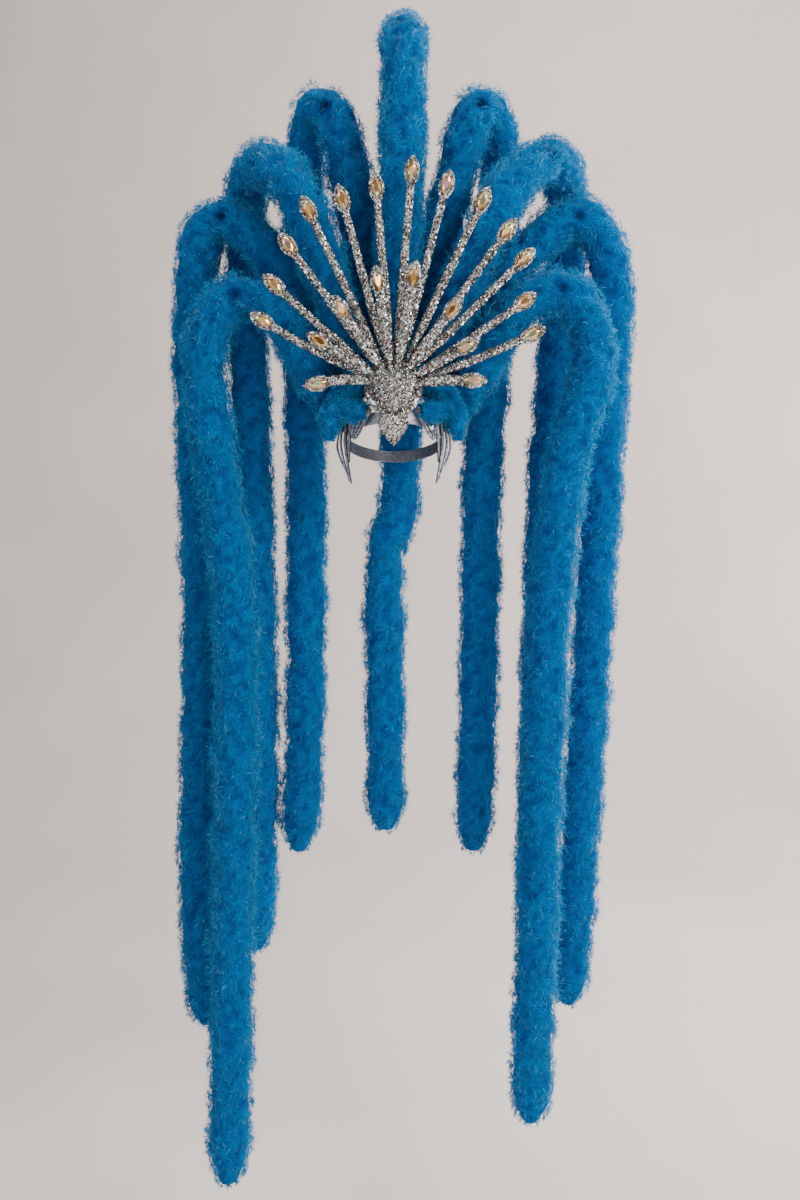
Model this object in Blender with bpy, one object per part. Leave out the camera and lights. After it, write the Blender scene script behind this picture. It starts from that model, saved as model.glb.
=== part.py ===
"""Showgirl feather headdress: a head frame with a glittered fan of jewelled stems and nine feather boas.

Metres, +Z up, the front faces -Y and +X is the viewer's right. The origin is the middle of the
head band, level with the temples, so the head comes up through it from below.
"""

import math
from collections import namedtuple

import bmesh
import bpy
from mathutils import Matrix, Vector, geometry

# Head frame
HEAD_WIDTH = 0.176
HEAD_DEPTH = 0.204
CROWN_RISE = 0.088
BAND_TILT = math.radians(18)
BAND_HEIGHT = 0.022
BAND_THICKNESS = 0.0025
ARCH_WIDTH = 0.034
ARCH_SET_BACK = 0.010
PLATE_RADIUS = 0.050
PLATE_THICKNESS = 0.003
SEAT_GAP = 0.0003

# Feather boas
BOA_DIAMETER = 0.085
BOA_LANE_GAP = 0.006
BOA_ROOT_DIAMETER = 0.024
BOA_ROOT_LENGTH = 0.190
BOA_TIP_LENGTH = 0.075
BOA_TIP_SHARE = 0.42
HALF_SPAN = 0.410
CREST_RISE = 0.708
TAIL_DROP = 1.420
LOCK_RIDGES = 5
LOCK_HOLLOW = 0.76
LOCK_PITCH = 0.065
LOCK_PINCH = 0.86
LOCK_TWIST = math.radians(26)

# Feather ruff round the crown
RUFF_DIAMETER = 0.046
RUFF_STAND_OFF = 0.022
RUFF_LOW_TURN = math.radians(-4)
RUFF_LOCK_PITCH = 0.024
RUFF_RIBBON_WIDTH = 0.012
RUFF_RIBBON_THICKNESS = 0.010

# Fan of stems
FAN_HEIGHT = 0.080
LONG_STEM = 0.377
LONG_STEM_WIDTH = 0.017
LONG_STEM_DEPTH = 0.010
LONG_STEM_SPREAD = 0.14
LONG_STEM_FORWARD = 0.012
SHORT_STEM = 0.206
SHORT_STEM_WIDTH = 0.022
SHORT_STEM_DEPTH = 0.012
SHORT_STEM_SPREAD = 0.28
SHORT_STEM_FORWARD = 0.034
STEM_NECK_SHARE = 0.80
HUB_RADIUS = 0.024
SETTING_LENGTH = 0.052
SETTING_WIDTH = 0.027
SETTING_THICKNESS = 0.005
STONE_LENGTH = 0.032
STONE_WIDTH = 0.017
STONE_HEIGHT = 0.0055
STONE_GIRDLE = 0.0015
STONE_TABLE_SHARE = 0.52
STONE_SIDES = 8

# Boss, leaf drop, side wings and round mirrors
BOSS_WIDTH = 0.078
BOSS_HEIGHT = 0.072
BOSS_RIM = 0.004
BOSS_DOME = 0.016
BOSS_POINT_HEIGHT = 0.038
LEAF_LAP = 0.003
LEAF_WIDTH = 0.052
LEAF_HEIGHT = 0.059
LEAF_RIM = 0.003
LEAF_DOME = 0.006
WING_STRIP_WIDTH = 0.010
WING_STRIP_THICKNESS = 0.003
WING_LIFT = 0.024
WING_DROP = 0.092
WING_LEAN_IN = 0.012
SCROLL_WIDTH = 0.024
SCROLL_THICKNESS = 0.004
WING_SEAT_GAP = 0.0007
MIRROR_DIAMETER = 0.013
MIRROR_DEPTH = 0.006
MIRROR_OUT = 0.036
MIRROR_BELOW_HUB = 0.022

LANE_PITCH = BOA_DIAMETER + BOA_LANE_GAP
FRONT_LANE = ARCH_SET_BACK - LANE_PITCH / 2
BAND_FRONT = -(HEAD_DEPTH / 2 + BAND_THICKNESS) * math.cos(BAND_TILT)
BAND_LOWER_FRONT = BAND_FRONT - BAND_HEIGHT / 2 * math.sin(BAND_TILT)
PLATE_FRONT = BAND_FRONT - PLATE_THICKNESS / 2
LONG_STEM_PLACE = PLATE_FRONT - SEAT_GAP - LONG_STEM_DEPTH / 2
SHORT_STEM_PLACE = LONG_STEM_PLACE - LONG_STEM_DEPTH / 2 - SEAT_GAP - SHORT_STEM_DEPTH / 2
BOSS_RIM_SHARE = SHORT_STEM_SPREAD * BOSS_WIDTH / 2 / SHORT_STEM_WIDTH
BOSS_BACK = SHORT_STEM_PLACE - SHORT_STEM_DEPTH / 2 * BOSS_RIM_SHARE - SEAT_GAP

# Each boa's wire arch. turn is where its root sits on the crown arch, in degrees from the right ear
# over the crown. Lanes count back from the front one, a boa's depth each. x is a share of HALF_SPAN
# and z of CREST_RISE.
Arch = namedtuple("Arch", "name turn lane lift_x lift_z rise_x rise_z crest_x crest_z side_x side_z")
ARCHES = [
    Arch("boa_centre", 90, 0.0, 0.012, 0.36, 0.040, 0.72, 0.040, 1.00, 0.035, 0.76),
    Arch("boa_left_1", 108, 1.0, -0.125, 0.34, -0.185, 0.64, -0.320, 0.85, -0.415, 0.71),
    Arch("boa_right_1", 72, 1.0, 0.150, 0.34, 0.260, 0.64, 0.405, 0.85, 0.490, 0.71),
    Arch("boa_left_2", 127, 0.0, -0.255, 0.33, -0.400, 0.58, -0.600, 0.69, -0.690, 0.60),
    Arch("boa_right_2", 53, 0.0, 0.270, 0.33, 0.470, 0.58, 0.700, 0.70, 0.800, 0.61),
    Arch("boa_left_3", 146, 1.0, -0.340, 0.27, -0.560, 0.48, -0.790, 0.56, -0.900, 0.43),
    Arch("boa_right_3", 34, 1.0, 0.360, 0.27, 0.600, 0.48, 0.850, 0.56, 0.985, 0.43),
    Arch("boa_left_4", 166, 0.0, -0.330, 0.13, -0.490, 0.30, -0.690, 0.34, -0.810, 0.21),
    Arch("boa_right_4", 14, 0.0, 0.340, 0.13, 0.530, 0.31, 0.740, 0.35, 0.860, 0.20),
]

# Each boa's hanging tail. Lanes and x are as above. z below the band is a share of TAIL_DROP.
Tail = namedtuple("Tail", "lane hang_x hang_z knee_x knee_z sway_x sway_z foot_x foot_z")
TAILS = {
    "boa_centre": Tail(2.0, 0.020, 0.10, -0.040, 0.14, -0.045, 0.38, -0.045, 0.55),
    "boa_left_1": Tail(2.0, -0.420, 0.05, -0.425, 0.20, -0.440, 0.42, -0.475, 0.58),
    "boa_right_1": Tail(2.0, 0.420, 0.05, 0.415, 0.20, 0.405, 0.42, 0.388, 0.58),
    "boa_left_2": Tail(2.0, -0.672, 0.05, -0.668, 0.22, -0.668, 0.48, -0.700, 0.73),
    "boa_right_2": Tail(2.0, 0.730, 0.05, 0.715, 0.22, 0.705, 0.46, 0.690, 0.68),
    "boa_left_3": Tail(1.4, -0.910, 0.05, -0.905, 0.26, -0.950, 0.62, -0.925, 0.82),
    "boa_right_3": Tail(1.4, 0.965, 0.05, 0.940, 0.24, 0.890, 0.58, 0.850, 0.79),
    "boa_left_4": Tail(0.0, -0.770, 0.03, -0.700, 0.22, -0.735, 0.64, -0.780, 1.00),
    "boa_right_4": Tail(0.0, 0.760, 0.02, 0.690, 0.20, 0.655, 0.60, 0.635, 0.91),
}

# Each stem's turn from the viewer's right in degrees, its length as a share of its row's longest, and
# how far its middle bows to the left of its own run as a share of its length.
Stem = namedtuple("Stem", "turn length bow")
LONG_STEMS = [
    Stem(153.0, 0.72, 0.02),
    Stem(139.5, 0.76, 0.01),
    Stem(127.0, 0.84, 0.00),
    Stem(116.0, 0.92, 0.00),
    Stem(105.5, 0.91, 0.00),
    Stem(95.0, 0.93, 0.00),
    Stem(85.0, 1.00, 0.00),
    Stem(75.0, 0.97, 0.00),
    Stem(64.0, 0.96, 0.00),
    Stem(53.5, 0.91, 0.00),
    Stem(44.0, 0.87, 0.00),
    Stem(33.0, 0.76, -0.01),
    Stem(21.0, 0.73, -0.02),
]
SHORT_STEMS = [
    Stem(181.0, 0.74, -0.09),
    Stem(149.0, 0.82, 0.00),
    Stem(124.5, 0.87, 0.00),
    Stem(98.5, 0.96, 0.00),
    Stem(79.5, 1.00, 0.00),
    Stem(52.0, 0.90, 0.00),
    Stem(28.5, 0.80, 0.00),
    Stem(3.0, 0.77, 0.04),
]

# Half of the leaf drop's outline from its tip up to the notch between its two lobes.
# out is a share of half its width and up of its height.
LeafEdge = namedtuple("LeafEdge", "out up")
LEAF_EDGES = [
    LeafEdge(0.00, 0.00),
    LeafEdge(0.42, 0.20),
    LeafEdge(0.82, 0.44),
    LeafEdge(1.00, 0.68),
    LeafEdge(0.95, 0.86),
    LeafEdge(0.68, 0.98),
    LeafEdge(0.26, 1.00),
    LeafEdge(0.00, 0.97),
]

# How the boss and the leaf dome up from their rims: how much of the outline is left at each level, and
# the level's height as a share of the dome's. The dome's top is a share of the way up the outline.
Level = namedtuple("Level", "outline height")
BOSS_LEVELS = [Level(1.00, 0.0), Level(0.72, 0.6), Level(0.34, 1.0)]
LEAF_LEVELS = [Level(1.00, 0.0), Level(0.60, 0.7), Level(0.15, 1.0)]
BOSS_TOP_OF_DOME = 0.60
LEAF_TOP_OF_DOME = 0.62

# The strips of a side wing. Turns are degrees round the head from the front. lift is a share of
# WING_LIFT, drop of WING_DROP, and flare is how far the middle stands out, in strip widths.
Strip = namedtuple("Strip", "top_turn middle_turn foot_turn lift drop flare")
WING_STRIPS = [
    Strip(51, 54, 64, 0.68, 0.62, 0.10),
    Strip(60, 63, 68, 0.86, 1.00, 0.35),
    Strip(69, 71, 72, 1.00, 0.96, 0.65),
    Strip(78, 79, 76, 0.90, 0.80, 1.00),
]

# The wing's edge along the band and its comma-shaped scroll, from the front round the head.
# height is a share of WING_LIFT above the band and breadth a share of the piece's own width.
Run = namedtuple("Run", "turn height breadth")
EDGE_RUN = [
    Run(26, 0.56, 0.5),
    Run(39, 0.56, 0.7),
    Run(51, 0.68, 0.9),
    Run(60, 0.86, 1.0),
    Run(69, 1.00, 1.0),
    Run(78, 0.90, 0.9),
    Run(82, 0.72, 0.5),
]
SCROLL_RUN = [
    Run(24, 0.62, 0.28),
    Run(30, 0.40, 0.50),
    Run(36, 0.00, 0.82),
    Run(42, -0.45, 1.00),
    Run(46, -0.85, 0.78),
    Run(48, -1.10, 0.30),
]


def clear_scene():
    for thing in list(bpy.data.objects):
        bpy.data.objects.remove(thing, do_unlink=True)


def new_collection(name):
    collection = bpy.data.collections.new(name)
    bpy.context.scene.collection.children.link(collection)
    return collection


def make_material(name, colour, roughness, metallic):
    material = bpy.data.materials.new(name)
    material.use_nodes = True
    shader = material.node_tree.nodes["Principled BSDF"]
    shader.inputs["Base Color"].default_value = (*colour, 1.0)
    shader.inputs["Roughness"].default_value = roughness
    shader.inputs["Metallic"].default_value = metallic
    return material


def add_object(name, data, collection, material=None):
    thing = bpy.data.objects.new(name, data)
    collection.objects.link(thing)
    if material:
        data.materials.append(material)
    return thing


def smooth_path(knots, step):
    """Points about a step apart along one smooth curve through all the knots."""
    knots = [Vector(knot) for knot in knots]
    slopes = []
    for i, knot in enumerate(knots):
        before = knots[max(i - 1, 0)]
        after = knots[min(i + 1, len(knots) - 1)]
        slopes.append((after - before).normalized())
    fine = [knots[0]]
    for i in range(len(knots) - 1):
        reach = (knots[i + 1] - knots[i]).length / 3
        start_handle = knots[i] + slopes[i] * reach
        end_handle = knots[i + 1] - slopes[i + 1] * reach
        fine += geometry.interpolate_bezier(knots[i], start_handle, end_handle, knots[i + 1], 24)[1:]
    return evenly_spaced(fine, step)


def evenly_spaced(points, step):
    travelled = [0.0]
    for a, b in zip(points, points[1:]):
        travelled.append(travelled[-1] + (b - a).length)
    count = max(2, round(travelled[-1] / step))
    spaced = []
    leg = 0
    for i in range(count + 1):
        wanted = travelled[-1] * i / count
        while leg < len(points) - 2 and travelled[leg + 1] < wanted:
            leg += 1
        part = (wanted - travelled[leg]) / (travelled[leg + 1] - travelled[leg])
        spaced.append(points[leg].lerp(points[leg + 1], min(part, 1.0)))
    return spaced


def poly_curve(name, points, cyclic=False, flat=False):
    curve = bpy.data.curves.new(name, "CURVE")
    curve.dimensions = "2D" if flat else "3D"
    spline = curve.splines.new("POLY")
    spline.points.add(len(points) - 1)
    for place, point in zip(spline.points, points):
        place.co = (*point, 0.0, 1.0) if len(point) == 2 else (*point, 1.0)
    spline.use_cyclic_u = cyclic
    return curve


def section_guide(name, outline):
    """A closed flat outline that a tube takes as its cross-section."""
    guide = add_object(name, poly_curve(name, outline, cyclic=True, flat=True), guides)
    guide.data.fill_mode = "NONE"
    guide.hide_render = True
    guide.display_type = "WIRE"
    return guide


def tube_curve(name, points, section, radii=None, twist=0.0, cyclic=False, z_up=False):
    curve = poly_curve(name, points, cyclic)
    curve.bevel_mode = "OBJECT"
    curve.bevel_object = section
    curve.use_fill_caps = not cyclic
    curve.twist_mode = "Z_UP" if z_up else "MINIMUM"
    for i, place in enumerate(curve.splines[0].points):
        place.radius = radii[i] if radii else 1.0
        place.tilt = twist * i
    return curve


def mesh_from_curve(name, curve, place=None):
    """The curve's own solid as a welded mesh, moved by the matrix given."""
    holder = add_object(name, curve, guides)
    bpy.context.view_layer.update()
    evaluated = holder.evaluated_get(bpy.context.evaluated_depsgraph_get())
    mesh = bpy.data.meshes.new_from_object(evaluated)
    bpy.data.objects.remove(holder, do_unlink=True)
    shape = bmesh.new()
    shape.from_mesh(mesh)
    bmesh.ops.remove_doubles(shape, verts=shape.verts, dist=1e-6)
    bmesh.ops.recalc_face_normals(shape, faces=shape.faces)
    shape.to_mesh(mesh)
    shape.free()
    if place:
        mesh.transform(place)
    mesh.name = name
    return mesh


def flat_plate(name, outline, thickness):
    """A flat outline in X and Z with the thickness given, its middle at y = 0."""
    curve = poly_curve(name, outline, cyclic=True, flat=True)
    curve.fill_mode = "BOTH"
    curve.extrude = thickness / 2
    return mesh_from_curve(name, curve, Matrix.Rotation(math.radians(90), 4, "X"))


def loft(name, rings):
    """A closed solid through rings of equally many points, with a flat face at both ends."""
    shape = bmesh.new()
    rows = [[shape.verts.new(point) for point in ring] for ring in rings]
    for near, far in zip(rows, rows[1:]):
        for i in range(len(near)):
            after = (i + 1) % len(near)
            shape.faces.new((near[i], near[after], far[after], far[i]))
    shape.faces.new(rows[0])
    shape.faces.new(rows[-1])
    bmesh.ops.recalc_face_normals(shape, faces=shape.faces)
    mesh = bpy.data.meshes.new(name)
    shape.to_mesh(mesh)
    shape.free()
    return mesh


def smooth_faces(mesh, angle=40):
    mesh.shade_smooth()
    mesh.set_sharp_from_angle(angle=math.radians(angle))


def joined(thing, others):
    """Joins other meshes to the object as one body."""
    for i, mesh in enumerate(others):
        other = add_object(f"{thing.name}_join_{i}", mesh, guides)
        other.hide_render = True
        other.display_type = "WIRE"
        union = thing.modifiers.new(f"join {i}", "BOOLEAN")
        union.operation = "UNION"
        union.object = other
    return thing


def star(points, hollow, size):
    """A closed outline whose corners stand out and in by turns."""
    corners = []
    for i in range(2 * points):
        reach = size if i % 2 == 0 else size * hollow
        turn = math.pi * i / points
        corners.append((reach * math.cos(turn), reach * math.sin(turn)))
    return corners


def oval(sides, width, depth):
    turns = [2 * math.pi * (i + 0.5) / sides for i in range(sides)]
    return [(width / 2 * math.cos(turn), depth / 2 * math.sin(turn)) for turn in turns]


def crown_point(turn, stand_off):
    """A place over the crown arch, and the way straight out from it there. turn is from the right ear."""
    half_width = HEAD_WIDTH / 2 + BAND_THICKNESS
    rise = CROWN_RISE + BAND_THICKNESS
    out = Vector((math.cos(turn) / half_width, 0, math.sin(turn) / rise)).normalized()
    foot = Vector((half_width * math.cos(turn), ARCH_SET_BACK, rise * math.sin(turn)))
    return foot + out * stand_off, out


def make_head_frame():
    """The band, the arch over the crown that carries the boas, and the front plate behind the fan."""
    steps = 28
    middle = BAND_THICKNESS / 2
    ring = []
    for i in range(steps):
        turn = 2 * math.pi * i / steps
        ring.append(Vector((
            (HEAD_WIDTH / 2 + middle) * math.cos(turn),
            (HEAD_DEPTH / 2 + middle) * math.sin(turn),
            0.0,
        )))
    half_strip = (BAND_THICKNESS / 2, BAND_HEIGHT / 2)
    corners = ((1, 1), (-1, 1), (-1, -1), (1, -1))
    section = section_guide("band_section", [(half_strip[0] * x, half_strip[1] * y) for x, y in corners])
    band_curve = tube_curve("head_frame", ring, section, cyclic=True, z_up=True)
    tilt = Matrix.Rotation(-BAND_TILT, 4, "X")
    frame = add_object("head_frame", mesh_from_curve("head_frame", band_curve, tilt), parts, silver)

    outline = []
    arch_steps = 20
    foot_turn = -BAND_HEIGHT / 4 / CROWN_RISE
    for outside in (True, False):
        grow = BAND_THICKNESS if outside else 0.0
        for i in range(arch_steps + 1):
            share = i / arch_steps if outside else 1 - i / arch_steps
            turn = foot_turn + (math.pi - 2 * foot_turn) * share
            outline.append((
                (HEAD_WIDTH / 2 + grow) * math.cos(turn),
                (CROWN_RISE + grow) * math.sin(turn),
            ))
    arch = flat_plate("arch", outline, ARCH_WIDTH)
    arch.transform(Matrix.Translation((0, ARCH_SET_BACK, 0)))

    disc = flat_plate("plate", oval(20, 2 * PLATE_RADIUS, 2 * PLATE_RADIUS), PLATE_THICKNESS)
    disc.transform(Matrix.Translation((0, BAND_FRONT, FAN_HEIGHT)))
    return joined(frame, [arch, disc])


def boa_knots(arch, tail):
    def lane(number):
        return FRONT_LANE + number * LANE_PITCH

    def above(x, depth, z):
        return (x * HALF_SPAN, lane(depth), z * CREST_RISE)

    def below(x, z):
        return (x * HALF_SPAN, lane(tail.lane), -z * TAIL_DROP)

    root, out = crown_point(math.radians(arch.turn), SEAT_GAP)
    return [
        root,
        root + out * BOA_ROOT_DIAMETER,
        above(arch.lift_x, arch.lane, arch.lift_z),
        above(arch.rise_x, arch.lane, arch.rise_z),
        above(arch.crest_x, (arch.lane + tail.lane) / 2, arch.crest_z),
        above(arch.side_x, tail.lane, arch.side_z),
        below(tail.hang_x, tail.hang_z),
        below(tail.knee_x, tail.knee_z),
        below(tail.sway_x, tail.sway_z),
        below(tail.foot_x, tail.foot_z),
    ]


def lock_radii(points, root_share, root_length, tip_length):
    """How full the feathers stand at each point, with every other one pinched in between the locks."""
    travelled = [0.0]
    for a, b in zip(points, points[1:]):
        travelled.append(travelled[-1] + (b - a).length)
    radii = []
    for i, distance in enumerate(travelled):
        opened = min(distance / root_length, 1.0)
        full = root_share + (1 - root_share) * opened
        left = min((travelled[-1] - distance) / tip_length, 1.0)
        full *= BOA_TIP_SHARE + (1 - BOA_TIP_SHARE) * math.sin(left * math.pi / 2)
        radii.append(full * (LOCK_PINCH if i % 2 else 1.0))
    return radii


def make_boa(arch, tail, section):
    knots = boa_knots(arch, tail)
    points = knots[:1] + smooth_path(knots[1:], LOCK_PITCH)
    root_share = BOA_ROOT_DIAMETER / BOA_DIAMETER
    radii = lock_radii(points, root_share, BOA_ROOT_LENGTH, BOA_TIP_LENGTH)
    curve = tube_curve(arch.name, points, section, radii, LOCK_TWIST)
    return add_object(arch.name, mesh_from_curve(arch.name, curve), parts, feathers)


def make_ruff():
    """Short feathers on a ribbon that runs over the crown from temple to temple, behind the plate."""
    front = BAND_FRONT + PLATE_THICKNESS / 2 + SEAT_GAP
    stops = 12
    turns = [RUFF_LOW_TURN + (math.pi - 2 * RUFF_LOW_TURN) * i / stops for i in range(stops + 1)]

    def run(stand_off):
        return [crown_point(turn, stand_off)[0] for turn in turns]

    section = section_guide("ruff_section", star(LOCK_RIDGES, LOCK_HOLLOW, RUFF_DIAMETER / 2))
    middle = [(point.x, front + RUFF_DIAMETER / 2, point.z) for point in run(RUFF_STAND_OFF)]
    points = smooth_path(middle, RUFF_LOCK_PITCH)
    radii = lock_radii(points, BOA_TIP_SHARE, RUFF_DIAMETER, RUFF_DIAMETER)
    curve = tube_curve("feather_ruff", points, section, radii, LOCK_TWIST)
    ruff = add_object("feather_ruff", mesh_from_curve("feather_ruff", curve), parts, feathers)

    outer = run(RUFF_STAND_OFF + RUFF_RIBBON_WIDTH / 2)[1:-1]
    inner = run(RUFF_STAND_OFF - RUFF_RIBBON_WIDTH / 2)[1:-1]
    outline = [(point.x, point.z) for point in outer + inner[::-1]]
    ribbon_strip = flat_plate("ruff_ribbon", outline, RUFF_RIBBON_THICKNESS)
    ribbon_strip.transform(Matrix.Translation((0, front + RUFF_RIBBON_THICKNESS / 2, 0)))
    return joined(ruff, [ribbon_strip])


def navette(length, width, sides):
    """A pointed oval from two curved flanks, long in X, as (x, z) pairs."""
    outline = []
    for i in range(sides):
        turn = 2 * math.pi * i / sides
        flank = math.copysign(abs(math.sin(turn)) ** 1.5, math.sin(turn))
        outline.append((length / 2 * math.cos(turn), width / 2 * flank))
    return outline


def stem_path(stem, longest, forward, distance):
    """A place along a stem that runs out along X: straight past the boss, then leaning forward."""
    length = longest * stem.length
    past_boss = max(distance - BOSS_WIDTH / 2, 0.0) / (longest - BOSS_WIDTH / 2)
    bow = stem.bow * length * math.sin(math.pi * distance / length)
    return Vector((distance, -forward * past_boss ** 2, bow))


def make_stem(name, stem, longest, section, width, spread, place, forward):
    """A glittered stem with its setting fused on, and the stone that lies in the setting."""
    setting_middle = longest * stem.length - SETTING_LENGTH / 2
    start = HUB_RADIUS + SEAT_GAP
    end = setting_middle - STONE_LENGTH / 2 - SEAT_GAP
    steps = 3
    points = []
    shares = []
    for i in range(steps + 1):
        distance = start + (end - start) * i / steps
        points.append(stem_path(stem, longest, forward, distance))
        narrowing = 1 - (1 - STEM_NECK_SHARE) * i / steps
        shares.append(min(spread * distance / width, narrowing))
    shape = mesh_from_curve(name, tube_curve(name, points, section, shares, z_up=True))

    held_at = stem_path(stem, longest, forward, setting_middle)
    along = (held_at - stem_path(stem, longest, forward, setting_middle - STONE_LENGTH)).normalized()
    across = Vector((0, 1, 0)).cross(along).normalized() * -1
    back = across.cross(along)
    held = Matrix.Translation(held_at) @ Matrix((along, back, across)).transposed().to_4x4()
    plate = flat_plate(f"{name}_setting", navette(SETTING_LENGTH, SETTING_WIDTH, 12), SETTING_THICKNESS)
    plate.transform(held)

    turned = Matrix.Translation((0, place, FAN_HEIGHT)) @ Matrix.Rotation(-math.radians(stem.turn), 4, "Y")
    for mesh in (shape, plate):
        mesh.transform(turned)
    smooth_faces(shape)
    joined(add_object(name, shape, parts, glitter), [plate])

    front = -SETTING_THICKNESS / 2 - SEAT_GAP
    outline = navette(STONE_LENGTH, STONE_WIDTH, STONE_SIDES)
    table = [(x * STONE_TABLE_SHARE, z * STONE_TABLE_SHARE) for x, z in outline]
    stone = loft(f"{name}_stone", [
        [(x, front, z) for x, z in outline],
        [(x, front - STONE_GIRDLE, z) for x, z in outline],
        [(x, front - STONE_HEIGHT, z) for x, z in table],
    ])
    stone.transform(turned @ held)
    add_object(f"{name}_stone", stone, parts, crystal)


def domed(name, outline, size, middle, rim, dome, levels):
    """A solid with a flat back at y = 0 and a front domed in levels, its outline in shares of the size."""
    width, height = size

    def ring(share, depth):
        return [
            (out * width / 2 * share, -depth, height * (middle + (up - middle) * share))
            for out, up in outline
        ]

    rings = [ring(1.0, 0.0)] + [ring(level.outline, rim + dome * level.height) for level in levels]
    mesh = loft(name, rings)
    smooth_faces(mesh, 50)
    return mesh


def with_left_half(right):
    return right + [(-out, up) for out, up in reversed(right[1:-1])]


def make_boss():
    """A rounded V that gathers the stems: a point at the foot, widening to a round top."""
    levels = 8
    ups = [i / levels for i in range(levels + 1)]
    reaches = [up ** 0.62 * (1 - up ** 7) ** 0.5 for up in ups]
    right = [(reach / max(reaches), up) for reach, up in zip(reaches, ups)]
    size = (BOSS_WIDTH, BOSS_HEIGHT)
    mesh = domed("boss", with_left_half(right), size, BOSS_TOP_OF_DOME, BOSS_RIM, BOSS_DOME, BOSS_LEVELS)
    mesh.transform(Matrix.Translation((0, BOSS_BACK, BOSS_POINT_HEIGHT)))
    hub_length = PLATE_FRONT - SEAT_GAP - BOSS_BACK + BOSS_RIM / 2
    hub = flat_plate("hub", oval(16, 2 * HUB_RADIUS, 2 * HUB_RADIUS), hub_length)
    hub.transform(Matrix.Translation((0, PLATE_FRONT - SEAT_GAP - hub_length / 2, FAN_HEIGHT)))
    return joined(add_object("boss", mesh, parts, glitter), [hub])


def make_leaf_drop():
    """The leaf that hangs from the boss's point over the hairline, domed to a low middle."""
    outline = with_left_half([(edge.out, edge.up) for edge in LEAF_EDGES])
    size = (LEAF_WIDTH, LEAF_HEIGHT)
    mesh = domed("leaf_drop", outline, size, LEAF_TOP_OF_DOME, LEAF_RIM, LEAF_DOME, LEAF_LEVELS)
    foot = BOSS_POINT_HEIGHT + LEAF_LAP - LEAF_HEIGHT
    mesh.transform(Matrix.Translation((0, BAND_LOWER_FRONT - SEAT_GAP, foot)))
    return add_object("leaf_drop", mesh, parts, glitter)


def round_head(turn, height, stand_off, side):
    """A place beside the band's outer face and the way out from it. The side is 1 for the right."""
    angle = math.radians(turn)
    lean = WING_LEAN_IN * min((height + WING_LIFT) / (WING_DROP - WING_LIFT), 0.0)
    leaning_out = BAND_HEIGHT / 2 * math.sin(BAND_TILT) * max(math.cos(angle), 0.0)
    clear = BAND_THICKNESS + WING_SEAT_GAP + leaning_out
    width = HEAD_WIDTH / 2 + clear + stand_off + lean
    depth = HEAD_DEPTH / 2 + clear + stand_off + lean
    place = Vector((
        side * width * math.sin(angle),
        -depth * math.cos(angle) * math.cos(BAND_TILT),
        depth * math.cos(angle) * math.sin(BAND_TILT) + height,
    ))
    out = Vector((side * math.sin(angle) / width, -math.cos(angle) / depth, 0.0)).normalized()
    return place, out


def strip_round_head(name, places, breadths, thickness):
    """A strip with its flat back to the head and a low ridge along its front."""
    rings = []
    for i, (place, out) in enumerate(places):
        before = places[max(i - 1, 0)][0]
        after = places[min(i + 1, len(places) - 1)][0]
        across = (after - before).cross(out).normalized() * breadths[i] / 2
        rings.append([
            place - across,
            place - across + out * thickness / 3,
            place + out * thickness,
            place + across + out * thickness / 3,
            place + across,
        ])
    return loft(name, rings)


def run_along(name, runs, width, thickness, side):
    """A strip through the runs, with a stop halfway between each two so that it lies round the head."""
    stops = list(runs[:1])
    for near, far in zip(runs, runs[1:]):
        stops += [Run(*((a + b) / 2 for a, b in zip(near, far))), far]
    places = [round_head(stop.turn, stop.height * WING_LIFT, 0.0, side) for stop in stops]
    return strip_round_head(name, places, [stop.breadth * width for stop in stops], thickness)


def make_wing(name, side):
    """Curved strips that spread beside the temple and meet below it, their edge, and the scroll in front."""
    shapes = []
    steps = 5
    for i, strip in enumerate(WING_STRIPS):
        places = []
        breadths = []
        for step in range(steps + 1):
            share = step / steps
            bend = math.sin(math.pi * share)
            turn = strip.top_turn * (1 - share) + strip.foot_turn * share
            turn += (strip.middle_turn - (strip.top_turn + strip.foot_turn) / 2) * bend
            top = strip.lift * WING_LIFT
            height = top - (top + strip.drop * WING_DROP) * share
            places.append(round_head(turn, height, strip.flare * WING_STRIP_WIDTH * bend, side))
            breadths.append(WING_STRIP_WIDTH * (0.45 + 0.55 * bend))
        shapes.append(strip_round_head(f"{name}_strip_{i}", places, breadths, WING_STRIP_THICKNESS))
    shapes.append(run_along(f"{name}_scroll", SCROLL_RUN, SCROLL_WIDTH, SCROLL_THICKNESS, side))
    edge = run_along(name, EDGE_RUN, WING_STRIP_WIDTH, WING_STRIP_THICKNESS, side)
    return joined(add_object(name, edge, parts, silver), shapes)


def make_mirror(name, place, out):
    """A round mirror with a domed face, flat on what it is glued to."""
    levels = 4
    rings = []
    for level in range(levels):
        rise = math.radians(90) * level / levels
        size = MIRROR_DIAMETER * math.cos(rise)
        rings.append([(x, z, MIRROR_DEPTH * math.sin(rise)) for x, z in oval(12, size, size)])
    mesh = loft(name, rings)
    mesh.transform(Matrix.Translation(place) @ out.to_track_quat("Z", "Y").to_matrix().to_4x4())
    smooth_faces(mesh, 60)
    return add_object(name, mesh, parts, mirror)


clear_scene()
parts = new_collection("showgirl_headdress")
guides = new_collection("guides")
silver = make_material("silver_frame", (0.42, 0.44, 0.48), 0.35, 1.0)
glitter = make_material("silver_glitter", (0.62, 0.62, 0.64), 0.30, 1.0)
crystal = make_material("aurora_crystal", (0.85, 0.72, 0.45), 0.05, 0.3)
mirror = make_material("mirror_glass", (0.90, 0.91, 0.93), 0.03, 1.0)
feathers = make_material("turquoise_marabou", (0.002, 0.130, 0.300), 0.9, 0.0)

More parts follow.
